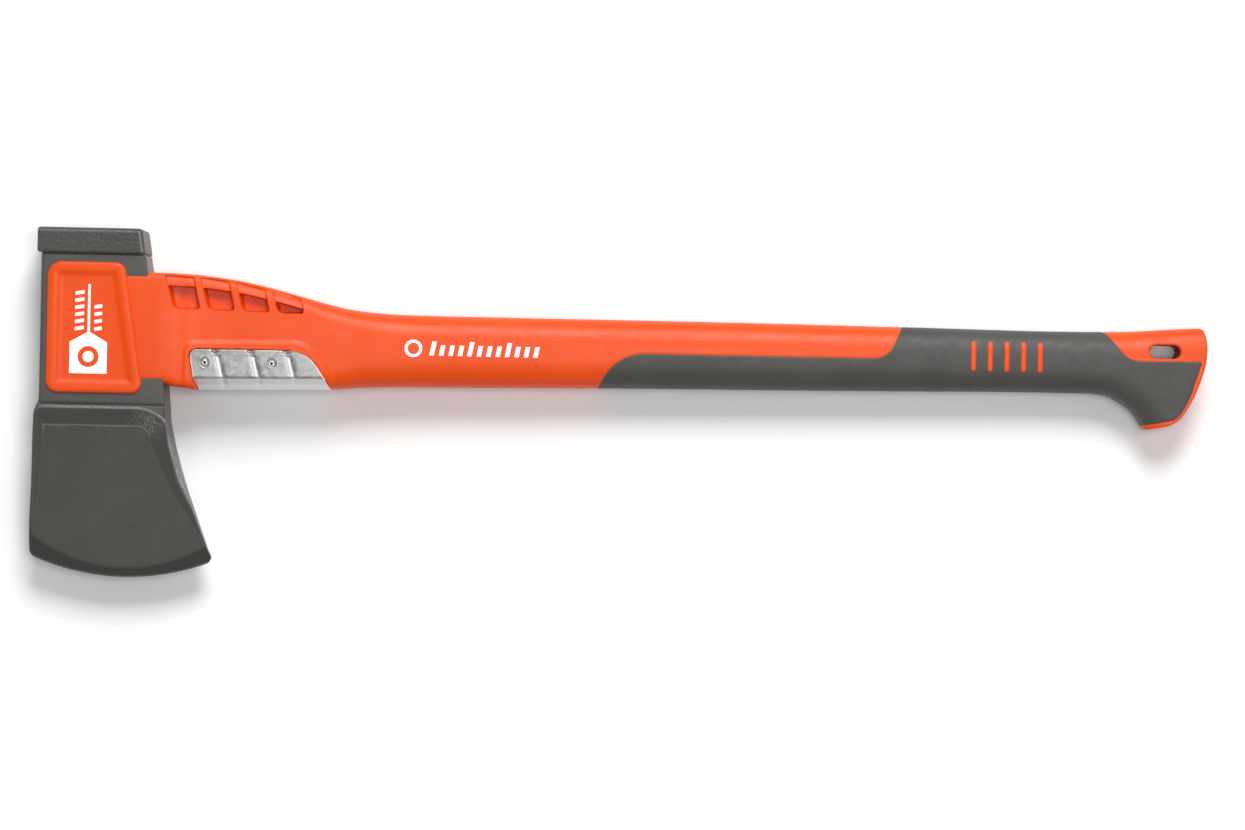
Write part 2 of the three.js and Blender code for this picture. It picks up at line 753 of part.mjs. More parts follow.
function rivetMesh(name, x, side, material) {
  const geometry = new THREE.LatheGeometry(rivetProfile(), 16);
  const mesh = piece(name, solid(geometry), material);
  mesh.rotation.x = (side * Math.PI) / 2;
  mesh.position.set(x, rivet.y, side * guard.half);
  return mesh;
}

function plugSolid(outside) {
  const rod = ventRod(vent.radius - GAP, fromButt(15), TOOL_LENGTH + FAR);
  return rod.intersect(outside);
}

// ================================================================ materials and assembly

const forged = new THREE.MeshStandardMaterial({ color: 0x4b4a46, roughness: 0.55, metalness: 0.3 });
const moulding = new THREE.MeshStandardMaterial({ color: 0xf4602f, roughness: 0.42, metalness: 0 });
const softGrip = new THREE.MeshStandardMaterial({ color: 0x4e4d49, roughness: 0.7, metalness: 0 });
const galvanised = new THREE.MeshStandardMaterial({ color: 0xb0b0ae, roughness: 0.38, metalness: 0.9 });

function tool() {
  const outside = handleOutside();
  const group = new THREE.Group();
  group.add(piece("axe_head", headSolid(), forged));
  group.add(piece("handle_core", coreSolid(outside), moulding));
  group.add(piece("soft_grip", gripSolid(outside), softGrip));
  group.add(piece("strike_guard", guardSolid(), galvanised));
  group.add(piece("bore_plug", plugSolid(outside), moulding));
  for (const [side, hand] of [[1, "left"], [-1, "right"]]) {
    group.add(rivetMesh(`guard_rivet_front_${hand}`, rivet.x[0], side, galvanised));
    group.add(rivetMesh(`guard_rivet_rear_${hand}`, rivet.x[1], side, galvanised));
  }
  return group;
}

/** The tool laid on its side: tipped until head and butt both touch z = 0, and centred on the origin. */
function laidDown(group) {
  const headContact = collar.rightBottom - collar.chamfer;
  const buttContact = fromButt(27);
  const tip = Math.atan2(HEAD_HALF - butt.half, buttContact - headContact);
  group.rotation.y = tip;
  const laid = new THREE.Group();
  laid.add(group);
  const box = new THREE.Box3().setFromObject(laid, true);
  const middle = box.getCenter(new THREE.Vector3());
  group.position.set(-middle.x, -middle.y, -box.min.z);
  return laid;
}

export default laidDown(tool());
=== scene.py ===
"""A splitting axe lying on its side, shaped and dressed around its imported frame.

Shapes are worked out in the tool's own axes, in millimetres: X runs from the blade's toe side to the butt,
Y from the cutting edge to the hammer face, and Z is the thickness, with the tool's mid-plane at z = 0.
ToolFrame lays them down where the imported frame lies, in metres.
"""

import logging
import math
from collections.abc import Callable, Sequence
from dataclasses import dataclass, field
from enum import Enum

import bmesh
import bpy
import numpy as np
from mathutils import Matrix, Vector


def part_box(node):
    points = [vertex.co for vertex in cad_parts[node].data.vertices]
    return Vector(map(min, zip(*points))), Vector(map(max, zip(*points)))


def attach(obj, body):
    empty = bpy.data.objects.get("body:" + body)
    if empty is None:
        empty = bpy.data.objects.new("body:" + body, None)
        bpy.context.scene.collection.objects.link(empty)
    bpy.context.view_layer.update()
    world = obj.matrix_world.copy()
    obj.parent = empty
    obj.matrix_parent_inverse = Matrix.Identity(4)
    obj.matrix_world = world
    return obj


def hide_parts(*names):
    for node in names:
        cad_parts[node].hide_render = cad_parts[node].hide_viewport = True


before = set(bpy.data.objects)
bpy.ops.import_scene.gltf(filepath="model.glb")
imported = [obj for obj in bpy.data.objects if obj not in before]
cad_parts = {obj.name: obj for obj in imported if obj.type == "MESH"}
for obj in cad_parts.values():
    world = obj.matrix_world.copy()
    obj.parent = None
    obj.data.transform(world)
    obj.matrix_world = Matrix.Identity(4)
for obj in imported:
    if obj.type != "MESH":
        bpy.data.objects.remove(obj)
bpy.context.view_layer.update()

log = logging.getLogger("axe")

Array = np.ndarray
Curve = Callable[[Array], Array]
Corner = tuple[float, float, float]
Colour = tuple[float, float, float]
Place = tuple[float, float, float]
Socket = bpy.types.NodeSocket

MM = 0.001
CREASE = math.radians(50)
BODY = "root"
TOOL_LENGTH = 700.0
HEAD_HALF = 24.0
POLL_Y = 68.0
EDGE_Y = -139.3


class Slot(Enum):
    """The record's material slots."""

    STEEL = "forged_steel"
    ORANGE = "orange_polyamide"
    RUBBER = "grey_elastomer"
    SHEET = "galvanised_sheet"
    RIVET = "rivet_steel"


class Side(Enum):
    """The two cheeks of the tool, as the sign of z."""

    LEFT = 1
    RIGHT = -1


# ---------------------------------------------------------------- numbers and curves


def ease(low: float, high: float, value: Array) -> Array:
    """0 below low, 1 above high, and a smooth S between them.

    Args:
        low: where the rise starts.
        high: where it ends.
        value: the numbers to look up.

    Returns:
        t squared times (3 - 2t), with t the share of the way from low to high.
    """
    t = np.clip((value - low) / (high - low), 0, 1)
    return t * t * (3 - 2 * t)


def hump(value: Array, width: float) -> Array:
    """A bell of height 1 at 0: e to the minus square of value over width."""
    return np.exp(-((value / width) ** 2))


def soft_min(a: Array, b: Array, blend: float) -> Array:
    """The lower of two surfaces, with the crease where they cross rounded over.

    Args:
        a: one height.
        b: the other height.
        blend: height by which the crease is taken down.

    Returns:
        (a + b - sqrt((a - b) squared + 4 blend squared)) / 2.
    """
    return (a + b - np.sqrt((a - b) ** 2 + 4 * blend * blend)) / 2


def curve_through(points: Sequence[tuple[float, float]]) -> Curve:
    """A smooth curve through points that never overshoots them, level beyond its ends.

    Args:
        points: (x, y) pairs in order of x.

    Returns:
        The cubic whose slope at each point is the harmonic mean of the slopes on either side of it.
    """
    xs, ys = np.asarray(points, float).T
    rate = np.diff(ys) / np.diff(xs)
    slope = np.zeros_like(ys)
    same_way = rate[:-1] * rate[1:] > 0
    total = np.where(same_way, rate[:-1] + rate[1:], 1)
    slope[1:-1] = np.where(same_way, 2 * rate[:-1] * rate[1:] / total, 0)

    def value(x: Array) -> Array:
        """The curve's height at x."""
        x = np.clip(np.asarray(x, float), xs[0], xs[-1])
        i = np.clip(np.searchsorted(xs, x, side="right") - 1, 0, len(xs) - 2)
        width = xs[i + 1] - xs[i]
        t = (x - xs[i]) / width
        rise = ys[i + 1] - ys[i]
        bend = (slope[i] * width - rise) * (1 - t) + (rise - slope[i + 1] * width) * t
        return ys[i] + t * rise + t * (1 - t) * bend

    return value


def steps(*runs: tuple[float, float, float]) -> Array:
    """Numbers in runs of (from, to, step), each run ending where the next starts."""
    parts = [np.linspace(a, b, max(2, round(abs(b - a) / step) + 1))[:-1] for a, b, step in runs]
    return np.concatenate([*parts, [runs[-1][1]]])


# ---------------------------------------------------------------- outlines in the side view


def walked(points: Array) -> Array:
    """Distance along a line of points, from its start to each of them."""
    return np.concatenate([[0], np.cumsum(np.hypot(*np.diff(points, axis=0).T))])


def corner_arms(corners: Sequence[Corner], i: int) -> tuple[Array, Array, Array, float]:
    """A corner of an outline and the ways to its neighbours.

    Args:
        corners: (x, y, radius) in order.
        i: which corner.

    Returns:
        The corner, the unit vectors to the one before and the one after, and half the angle between them.
    """
    here = np.array(corners[i][:2], float)
    before = np.array(corners[i - 1][:2], float) - here
    after = np.array(corners[(i + 1) % len(corners)][:2], float) - here
    before /= np.linalg.norm(before)
    after /= np.linalg.norm(after)
    return here, before, after, math.acos(float(np.clip(before @ after, -1, 1))) / 2


def moved_corners(corners: Sequence[Corner], inset: float) -> list[Corner]:
    """The corners of a convex outline moved inwards.

    Args:
        corners: (x, y, radius) in anticlockwise order.
        inset: distance by which every side moves in.

    Returns:
        Corners moved along their bisectors by inset over the sine of the half angle, with smaller rounds.
    """
    made = []
    for i, (_, _, radius) in enumerate(corners):
        here, before, after, half = corner_arms(corners, i)
        x, y = here + (before + after) / np.linalg.norm(before + after) * inset / math.sin(half)
        made.append((float(x), float(y), max(radius - inset, 0.4)))
    return made


def rounded(corners: Sequence[Corner], per_corner: int = 8) -> Array:
    """A closed outline through corners, each replaced by an arc of its radius.

    Args:
        corners: (x, y, radius), a radius of 0 leaving a sharp corner.
        per_corner: points on each arc.

    Returns:
        Points of shape (corners * per_corner, 2).
    """
    made = []
    for i, (_, _, radius) in enumerate(corners):
        here, before, after, half = corner_arms(corners, i)
        centre = here + (before + after) / np.linalg.norm(before + after) * radius / math.sin(half)
        start = here + before * radius / math.tan(half) - centre
        turn = -1.0 if before[0] * after[1] - before[1] * after[0] > 0 else 1.0
        angle = math.atan2(start[1], start[0]) + turn * (math.pi - 2 * half) * np.linspace(0, 1, per_corner)
        made.append(centre + radius * np.stack([np.cos(angle), np.sin(angle)], 1))
    return np.concatenate(made)


def slot_outline(x: float, y: float, length: float, width: float, upright: bool, ends: int = 9) -> Array:
    """A slot-shaped outline with half-round ends.

    Args:
        x: middle.
        y: middle.
        length: over both ends.
        width: across the sides.
        upright: whether it runs along Y and not along X.
        ends: points on each half circle, and on each straight side.

    Returns:
        The two half circles, joined by points along the straight sides.
    """
    reach, radius = (length - width) / 2, width / 2
    angle = np.linspace(-np.pi / 2, np.pi / 2, ends)
    side = np.linspace(reach, -reach, ends + 2)[1:-1]
    flat = np.ones(ends) * radius
    along = np.concatenate([reach + np.cos(angle) * radius, side, -reach - np.cos(angle) * radius, -side])
    across = np.concatenate([np.sin(angle) * radius, flat, -np.sin(angle) * radius, -flat])
    pair = (x - across, y + along) if upright else (x + along, y + across)
    return np.stack(pair, 1)


def on_cheek(outline: Array, z: Array | float, side: Side) -> Array:
    """An outline of the side view laid on one cheek, at one |z| or at one for each of its points."""
    return np.column_stack([outline, np.broadcast_to(z, len(outline)) * side.value])


def inside_distance(points: Array, outline: Array) -> Array:
    """How far points are inside a closed outline, negative outside it.

    Args:
        points: shape (..., 2).
        outline: shape (n, 2).

    Returns:
        The distance to the nearest side, signed by how often a ray crosses the outline.
    """
    flat = points.reshape(-1, 2)
    start, end = outline, np.roll(outline, -1, axis=0)
    side = end - start
    length = np.maximum((side**2).sum(1), 1e-12)
    made = np.empty(len(flat))
    for first in range(0, len(flat), 20000):
        p = flat[first : first + 20000, None, :]
        rel = p - start
        t = np.clip((rel * side).sum(2) / length, 0, 1)
        near = np.sqrt(((rel - t[..., None] * side) ** 2).sum(2).min(1))
        spans = (start[:, 1] > p[..., 1]) != (end[:, 1] > p[..., 1])
        rise = np.where(side[:, 1] == 0, 1, side[:, 1])
        cross = start[:, 0] + (p[..., 1] - start[:, 1]) * side[:, 0] / rise
        inside = (spans & (p[..., 0] < cross)).sum(1) % 2 == 1
        made[first : first + 20000] = np.where(inside, near, -near)
    return made.reshape(points.shape[:-1])


# ---------------------------------------------------------------- meshes


class ToolFrame:
    """Where the tool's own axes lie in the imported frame."""

    FRONT_RIVETS = (103.4, -10.4)

    def __init__(self) -> None:
        """Reads the turn and the place from the two pairs of rivets, whose middles are on the mid-plane."""
        front = self._middle("guard_rivet_front_left", "guard_rivet_front_right")
        rear = self._middle("guard_rivet_rear_left", "guard_rivet_rear_right")
        along = (rear - front) / np.linalg.norm(rear - front)
        self.turn = np.array([[along[0], 0, -along[2]], [0, 1, 0], [along[2], 0, along[0]]])
        self.origin = front - self.turn @ (np.array([*self.FRONT_RIVETS, 0]) * MM)

    @staticmethod
    def _middle(first: str, second: str) -> Array:
        """The middle of the box round two nodes, in metres."""
        low_a, high_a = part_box(first)
        low_b, high_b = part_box(second)
        return (np.minimum(low_a, low_b) + np.maximum(high_a, high_b)) / 2

    def place(self, points: Array) -> Array:
        """Points of the tool, in millimetres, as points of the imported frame, in metres."""
        return points.reshape(-1, 3) * MM @ self.turn.T + self.origin


def grid_faces(rows: int, columns: int) -> Array:
    """The quads of a grid of points whose last column joins the first.

    Args:
        rows: rings.
        columns: points on each ring.

    Returns:
        Indices of shape (quads, 4).
    """
    r = np.arange(rows - 1)[:, None]
    c = np.arange(columns)[None, :]
    after = (c + 1) % columns
    quads = [r * columns + c, (r + 1) * columns + c, (r + 1) * columns + after, r * columns + after]
    return np.stack([np.broadcast_to(q, (rows - 1, columns)) for q in quads], 2).reshape(-1, 4)


def facing_out(points: Array, faces: Array) -> Array:
    """Quads turned over if the volume that they enclose comes out negative."""
    a, b, c, d = (points[faces[:, i]] for i in range(4))
    volume = (a * np.cross(b, c)).sum() + (a * np.cross(c, d)).sum()
    return faces[:, ::-1] if volume < 0 else faces


@dataclass
class Shell:
    """A closed surface on a grid of points, in the tool's axes, with numbers for its finish to read."""

    points: Array
    masks: dict[str, Array] = field(default_factory=dict)

    def faces(self) -> Array:
        """The grid's quads, its columns joined into a ring, facing out."""
        rows, columns = self.points.shape[:2]
        return facing_out(self.points.reshape(-1, 3), grid_faces(rows, columns))


def joined(shells: Sequence[Shell]) -> tuple[Array, Array, dict[str, Array]]:
    """Several shells as one set of points, quads and masks."""
    points, faces, count = [], [], 0
    names = {name for shell in shells for name in shell.masks}
    masks: dict[str, list[Array]] = {name: [] for name in names}
    for shell in shells:
        flat = shell.points.reshape(-1, 3)
        points.append(flat)
        faces.append(shell.faces() + count)
        count += len(flat)
        for name in names:
            masks[name].append(shell.masks.get(name, np.zeros(len(flat))).ravel())
    return np.concatenate(points), np.concatenate(faces), {n: np.concatenate(m) for n, m in masks.items()}


def smooth(mesh: bpy.types.Mesh) -> None:
    """Shades a mesh smooth, but for its edges past the crease angle."""
    mesh.shade_smooth()
    mesh.set_sharp_from_angle(angle=CREASE)


class Workshop:
    """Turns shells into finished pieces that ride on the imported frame."""

    def __init__(self, place: ToolFrame) -> None:
        """Args: place: where the tool lies."""
        self.place = place

    def mesh(self, name: str, shells: Sequence[Shell]) -> bpy.types.Object:
        """An object with its place in its mesh, doubles merged and hard edges kept.

        Args:
            name: the piece's name.
            shells: its closed surfaces.

        Returns:
            The object, linked to the scene.
        """
        points, faces, masks = joined(shells)
        mesh = bpy.data.meshes.new(name)
        mesh.vertices.add(len(points))
        mesh.vertices.foreach_set("co", self.place.place(points).astype(np.float32).ravel())
        mesh.loops.add(faces.size)
        mesh.loops.foreach_set("vertex_index", faces.astype(np.int32).ravel())
        mesh.polygons.add(len(faces))
        mesh.polygons.foreach_set("loop_start", np.arange(0, faces.size, 4, dtype=np.int32))
        mesh.update(calc_edges=True)
        for mask, values in masks.items():
            layer = mesh.attributes.new(mask, "FLOAT", "POINT")
            layer.data.foreach_set("value", values.astype(np.float32))
        work = bmesh.new()
        work.from_mesh(mesh)
        bmesh.ops.remove_doubles(work, verts=work.verts, dist=2e-6)
        bmesh.ops.dissolve_degenerate(work, edges=work.edges, dist=1e-7)
        work.to_mesh(mesh)
        work.free()
        mesh.validate()
        smooth(mesh)
        made = bpy.data.objects.new(name, mesh)
        bpy.context.scene.collection.objects.link(made)
        return made

    def finish(self, piece: bpy.types.Object, material: bpy.types.Material, slot: Slot, *nodes: str) -> None:
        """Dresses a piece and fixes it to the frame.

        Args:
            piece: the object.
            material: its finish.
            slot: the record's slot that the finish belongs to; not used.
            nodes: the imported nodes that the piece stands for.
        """
        piece.data.materials.append(material)
        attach(piece, BODY)
        if nodes:
            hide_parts(*nodes)
        log.info("%s: %d faces", piece.name, len(piece.data.polygons))


def pillow(
    rings: Sequence[Array],
    heights: Sequence[Array | float],
    side: Side,
    base: Array | float,
    spine: bool = False,
) -> Shell:
    """A low closed form that stands on a cheek: nested outlines, each at its own height.

    Args:
        rings: outlines from the outermost inwards, with as many points each.
        heights: |z| of each outline, one number or one for each of its points.
        side: the cheek.
        base: |z| of its underside.
        spine: whether the innermost outline has no width, and so closes the form by itself at both ends.

    Returns:
        The rings from the underside's middle out, up and in again to the top's middle.
    """
    layers = [on_cheek(ring, height, side) for ring, height in zip(rings, heights)]
    base_ring = on_cheek(rings[0], base, side)
    if spine:
        return Shell(np.stack([on_cheek(rings[-1], base, side), base_ring, *layers]))

    def middle(outline: Array, z: Array | float) -> Array:
        """The middle of an outline as a ring of no size, at the mean of its heights."""
        return on_cheek(np.broadcast_to(outline.mean(0), outline.shape), np.mean(z), side)

    return Shell(np.stack([middle(rings[0], base), base_ring, *layers, middle(rings[-1], heights[-1])]))


# ---------------------------------------------------------------- finishes


class Nodes:
    """A material's node tree, with short ways to add what the finishes share."""

    def __init__(self, name: str) -> None:
        """Args: name: the material's name."""
        self.material = bpy.data.materials.new(name)
        self.material.use_nodes = True
        self.tree = self.material.node_tree
        self.shader = self.tree.nodes["Principled BSDF"]
        self.coords = self.tree.nodes.new("ShaderNodeTexCoord").outputs["Object"]

    def link(self, source: Socket, target: Socket) -> None:
        """Joins two sockets."""
        self.tree.links.new(source, target)

    def dress(self, colour: Socket, rough: Socket) -> None:
        """Gives the shader its colour and its roughness."""
        self.link(colour, self.shader.inputs["Base Color"])
        self.link(rough, self.shader.inputs["Roughness"])

    def set(self, **values: float | tuple[float, ...]) -> None:
        """Sets the shader's own sockets by name, with underscores for spaces."""
        for name, value in values.items():
            self.shader.inputs[name.replace("_", " ")].default_value = value

    def mask(self, name: str) -> Socket:
        """The numbers that a mesh carries under a name."""
        node = self.tree.nodes.new("ShaderNodeAttribute")
        node.attribute_name = name
        return node.outputs["Fac"]

    def stretched(self, scale: tuple[float, float, float], turn: float = 0.0) -> Socket:
        """Object coordinates turned about Z by an angle in radians and scaled along each axis."""
        node = self.tree.nodes.new("ShaderNodeMapping")
        node.inputs["Rotation"].default_value = (0, 0, turn)
        node.inputs["Scale"].default_value = scale
        self.link(self.coords, node.inputs["Vector"])
        return node.outputs["Vector"]

    def noise(
        self, scale: float, detail: float = 3.0, rough: float = 0.5, vector: Socket | None = None
    ) -> Socket:
        """Noise with so many features to the metre."""
        node = self.tree.nodes.new("ShaderNodeTexNoise")
        node.inputs["Scale"].default_value = scale
        node.inputs["Detail"].default_value = detail
        node.inputs["Roughness"].default_value = rough
        self.link(vector or self.coords, node.inputs["Vector"])
        return node.outputs["Fac"]

    def cells(self, scale: float, smooth: float = 0.3) -> Socket:
        """A random grey for each soft-edged cell, so many to the metre."""
        node = self.tree.nodes.new("ShaderNodeTexVoronoi")
        node.feature = "SMOOTH_F1"
        node.inputs["Scale"].default_value = scale
        node.inputs["Smoothness"].default_value = smooth
        self.link(self.coords, node.inputs["Vector"])
        grey = self.tree.nodes.new("ShaderNodeSeparateColor")
        self.link(node.outputs["Color"], grey.inputs["Color"])
        return grey.outputs["Red"]

    def ramp(self, value: Socket, low: float, high: float, a: float, b: float) -> Socket:
        """Maps value from low..high onto a..b, held at the ends."""
        node = self.tree.nodes.new("ShaderNodeMapRange")
        for name, number in (("From Min", low), ("From Max", high), ("To Min", a), ("To Max", b)):
            node.inputs[name].default_value = number
        self.link(value, node.inputs["Value"])
        return node.outputs["Result"]

    def _sum(self, how: str, a: Socket, b: Socket | float) -> Socket:
        """One sum on two numbers."""
        node = self.tree.nodes.new("ShaderNodeMath")
        node.operation = how
        self.link(a, node.inputs[0])
        if isinstance(b, float):
            node.inputs[1].default_value = b
        else:
            self.link(b, node.inputs[1])
        return node.outputs[0]

    def times(self, a: Socket, b: Socket | float) -> Socket:
        """The product of two numbers."""
        return self._sum("MULTIPLY", a, b)

    def mean(self, a: Socket, b: Socket) -> Socket:
        """The mean of two numbers."""
        return self._sum("ADD", self.times(a, 0.5), self.times(b, 0.5))

    def mix(self, share: Socket, a: Socket | Colour, b: Colour) -> Socket:
        """A colour between a and b."""
        node = self.tree.nodes.new("ShaderNodeMix")
        node.data_type = "RGBA"
        self.link(share, node.inputs["Factor"])
        if isinstance(a, tuple):
            node.inputs["A"].default_value = (*a, 1)
        else:
            self.link(a, node.inputs["A"])
        node.inputs["B"].default_value = (*b, 1)
        return node.outputs["Result"]

    def bump(self, height: Socket, depth: float, strength: float = 1.0) -> None:
        """Adds relief of a depth in metres on top of what the shader's normal has."""
        node = self.tree.nodes.new("ShaderNodeBump")
        node.inputs["Distance"].default_value = depth
        node.inputs["Strength"].default_value = strength
        self.link(height, node.inputs["Height"])
        normal = self.shader.inputs["Normal"]
        if normal.is_linked:
            self.link(normal.links[0].from_socket, node.inputs["Normal"])
        self.link(node.outputs["Normal"], normal)


@dataclass(frozen=True)
class CoatedSteel:
    """A dark coat on a forging: fine cast grain where it was left as forged, bright wear along its edges, and
    painted highlights, a painted glint and painted shade on the blade and shoulder.
    """

    coat: Colour = (0.055, 0.0535, 0.0490)
    dusty: Colour = (0.063, 0.0615, 0.0565)
    # Painted shade: the darker colour on the bevel, on the shoulder above the hollow and along a line on the
    # heel side.
    painted_shade: Colour = (0.036, 0.035, 0.032)
    # Bright wear on edges and grain, also used for painted highlights and a painted glint.
    wear_and_highlight: Colour = (0.35, 0.345, 0.33)

    def material(self) -> bpy.types.Material:
        """Masks say where each finish goes: grain where the forging is rough; edge where its edges wear bright,
        and painted highlights along the top of the hollow and the foot of its wall; bevel, painted shade on the
        bevel, the shoulder and a line on the heel side; streak, a painted glint of bright lines with a little
        relief.
        """
        n = Nodes("coated_steel")
        grain, edge = n.mask("grain"), n.mask("edge")
        coat = n.mix(n.ramp(n.noise(38, 4), 0.35, 0.7, 0, 1), self.coat, self.dusty)
        # Painted shade from the bevel mask.
        coat = n.mix(n.mask("bevel"), coat, self.painted_shade)
        speck = n.ramp(n.noise(1500, 3, 0.6), 0.53, 0.66, 0, 0.16)
        patch = n.ramp(n.noise(160, 3), 0.38, 0.6, 0.15, 1)
        coat = n.mix(n.times(n.times(speck, patch), n.ramp(grain, 0.04, 0.24, 0, 1)), coat, self.wear_and_highlight)
        # Painted glint: bright streaks where mask streak is set, standing for light on rough forging, with a
        # little relief from the same lines.
        lines = n.noise(700, 2, 0.6, n.stretched((4.0, 0.35, 1.0), math.radians(-40)))
        streaks_and_glint = n.times(n.mask("streak"), n.ramp(lines, 0.5, 0.6, 0, 0.75))
        coat = n.mix(streaks_and_glint, coat, self.wear_and_highlight)
        # Edge wear, which also paints the highlights along the top of the hollow and the foot of its wall.
        edge_wear_and_highlight = n.times(edge, n.ramp(n.noise(900, 4, 0.65), 0.42, 0.6, 0.5, 1.0))
        n.dress(n.mix(edge_wear_and_highlight, coat, self.wear_and_highlight), n.ramp(n.noise(500, 3), 0.3, 0.7, 0.35, 0.46))
        n.set(Specular_IOR_Level=0.42, Metallic=0.0)
        n.bump(n.noise(2600, 2), 0.00003, 0.5)
        relief = n.ramp(n.noise(600, 4, 0.62), 0.2, 0.8, -1, 1)
        n.bump(n.times(relief, grain), 0.00045, 1.0)
        n.bump(streaks_and_glint, 0.0001, 0.6)
        return n.material


@dataclass(frozen=True)
class Polyamide:
    """Satin orange moulding with a faint mould texture and a slight unevenness of colour."""

    colour: Colour = (0.75, 0.071, 0.003)
    deep: Colour = (0.70, 0.061, 0.002)

    def material(self) -> bpy.types.Material:
        """Colour from slow noise, gloss from quicker noise, and a fine spark-eroded relief."""
        n = Nodes("orange_polyamide")
        colour = n.mix(n.ramp(n.noise(26, 3), 0.35, 0.68, 0, 0.7), self.colour, self.deep)
        n.dress(colour, n.ramp(n.noise(90, 4), 0.3, 0.7, 0.36, 0.45))
        n.set(Specular_IOR_Level=0.26)
        n.bump(n.noise(2300, 2), 0.00004, 0.45)
        n.bump(n.noise(420, 2), 0.00006, 0.3)
        return n.material


@dataclass(frozen=True)
class Elastomer:
    """Matt dark grey soft grip with a finely eroded surface."""

    colour: Colour = (0.045, 0.043, 0.0385)
    rubbed: Colour = (0.056, 0.054, 0.049)

    def material(self) -> bpy.types.Material:
        """Colour from slow noise, and relief from two sizes of fine noise."""
        n = Nodes("grey_elastomer")
        colour = n.mix(n.ramp(n.noise(30, 4), 0.4, 0.7, 0, 0.8), self.colour, self.rubbed)
        n.dress(colour, n.ramp(n.noise(200, 3), 0.3, 0.7, 0.5, 0.6))
        n.set(Specular_IOR_Level=0.5)
        n.bump(n.noise(3200, 2), 0.00005, 0.6)
        n.bump(n.noise(700, 3), 0.00006, 0.4)
        return n.material


@dataclass(frozen=True)
class Galvanised:
    """Zinc-coated sheet: a mottled spangle, faint rolling lines and bright cut edges, with painted highlights on
    the edges and in the pressed grooves and a painted reflection on the facet below the fold.
    """

    dull: Colour = (0.265, 0.27, 0.265)
    bright: Colour = (0.38, 0.38, 0.375)
    # Near white for the sheared edges, which also stands for painted highlights and a painted reflection.
    cut: Colour = (0.90, 0.90, 0.89)

    def material(self) -> bpy.types.Material:
        """Spangle from soft cells and noise; mask edge paints the sheared edge near white, as bare steel with
        painted highlight, and also paints highlights in the pressed grooves and a reflection on the facet below
        the fold.
        """
        n = Nodes("galvanised_sheet")
        spangle = n.mean(n.cells(420), n.noise(900, 5, 0.65))
        colour = n.mix(n.ramp(spangle, 0.32, 0.66, 0, 1), self.dull, self.bright)
        rolled = n.noise(300, 3, 0.5, n.stretched((0.3, 5.0, 1.0)))
        # Mask edge: sheared edges, painted highlights in the grooves and a painted reflection below the fold.
        n.dress(n.mix(n.mask("edge"), colour, self.cut), n.ramp(n.mean(rolled, spangle), 0.3, 0.7, 0.3, 0.5))
        n.set(Metallic=0.6)
        n.bump(n.noise(1400, 4, 0.6), 0.00005, 0.5)
        return n.material


@dataclass(frozen=True)
class RivetSteel:
    """Bright zinc-plated rivet, with painted shade, near black, in the hole where its mandrel broke off."""

    plate: Colour = (0.72, 0.72, 0.71)
    tarnish: Colour = (0.55, 0.55, 0.54)
    # Painted shade inside the mandrel's hole.
    hole: Colour = (0.02, 0.02, 0.02)

    def material(self) -> bpy.types.Material:
        """Mask hole paints shade in the middle, in the mandrel's hole."""
        n = Nodes("rivet_steel")
        colour = n.mix(n.ramp(n.noise(2500, 3), 0.3, 0.7, 0, 0.4), self.plate, self.tarnish)
        n.dress(n.mix(n.mask("hole"), colour, self.hole), n.ramp(n.noise(1800, 2), 0.3, 0.7, 0.2, 0.32))
        n.set(Metallic=0.95)
        return n.material


@dataclass(frozen=True)
class PrintInk:
    """White pad-printed ink, a little uneven."""

    white: Colour = (0.90, 0.90, 0.90)
    thin: Colour = (0.82, 0.78, 0.77)

    def material(self) -> bpy.types.Material:
        """White with faint thin spots, and the relief of the moulding under it."""
        n = Nodes("print_ink")
        colour = n.mix(n.ramp(n.noise(700, 3), 0.45, 0.75, 0, 0.6), self.white, self.thin)
        n.dress(colour, n.ramp(n.noise(400, 2), 0.3, 0.7, 0.42, 0.52))
        n.bump(n.noise(2300, 2), 0.00003, 0.3)
        return n.material


# ---------------------------------------------------------------- head


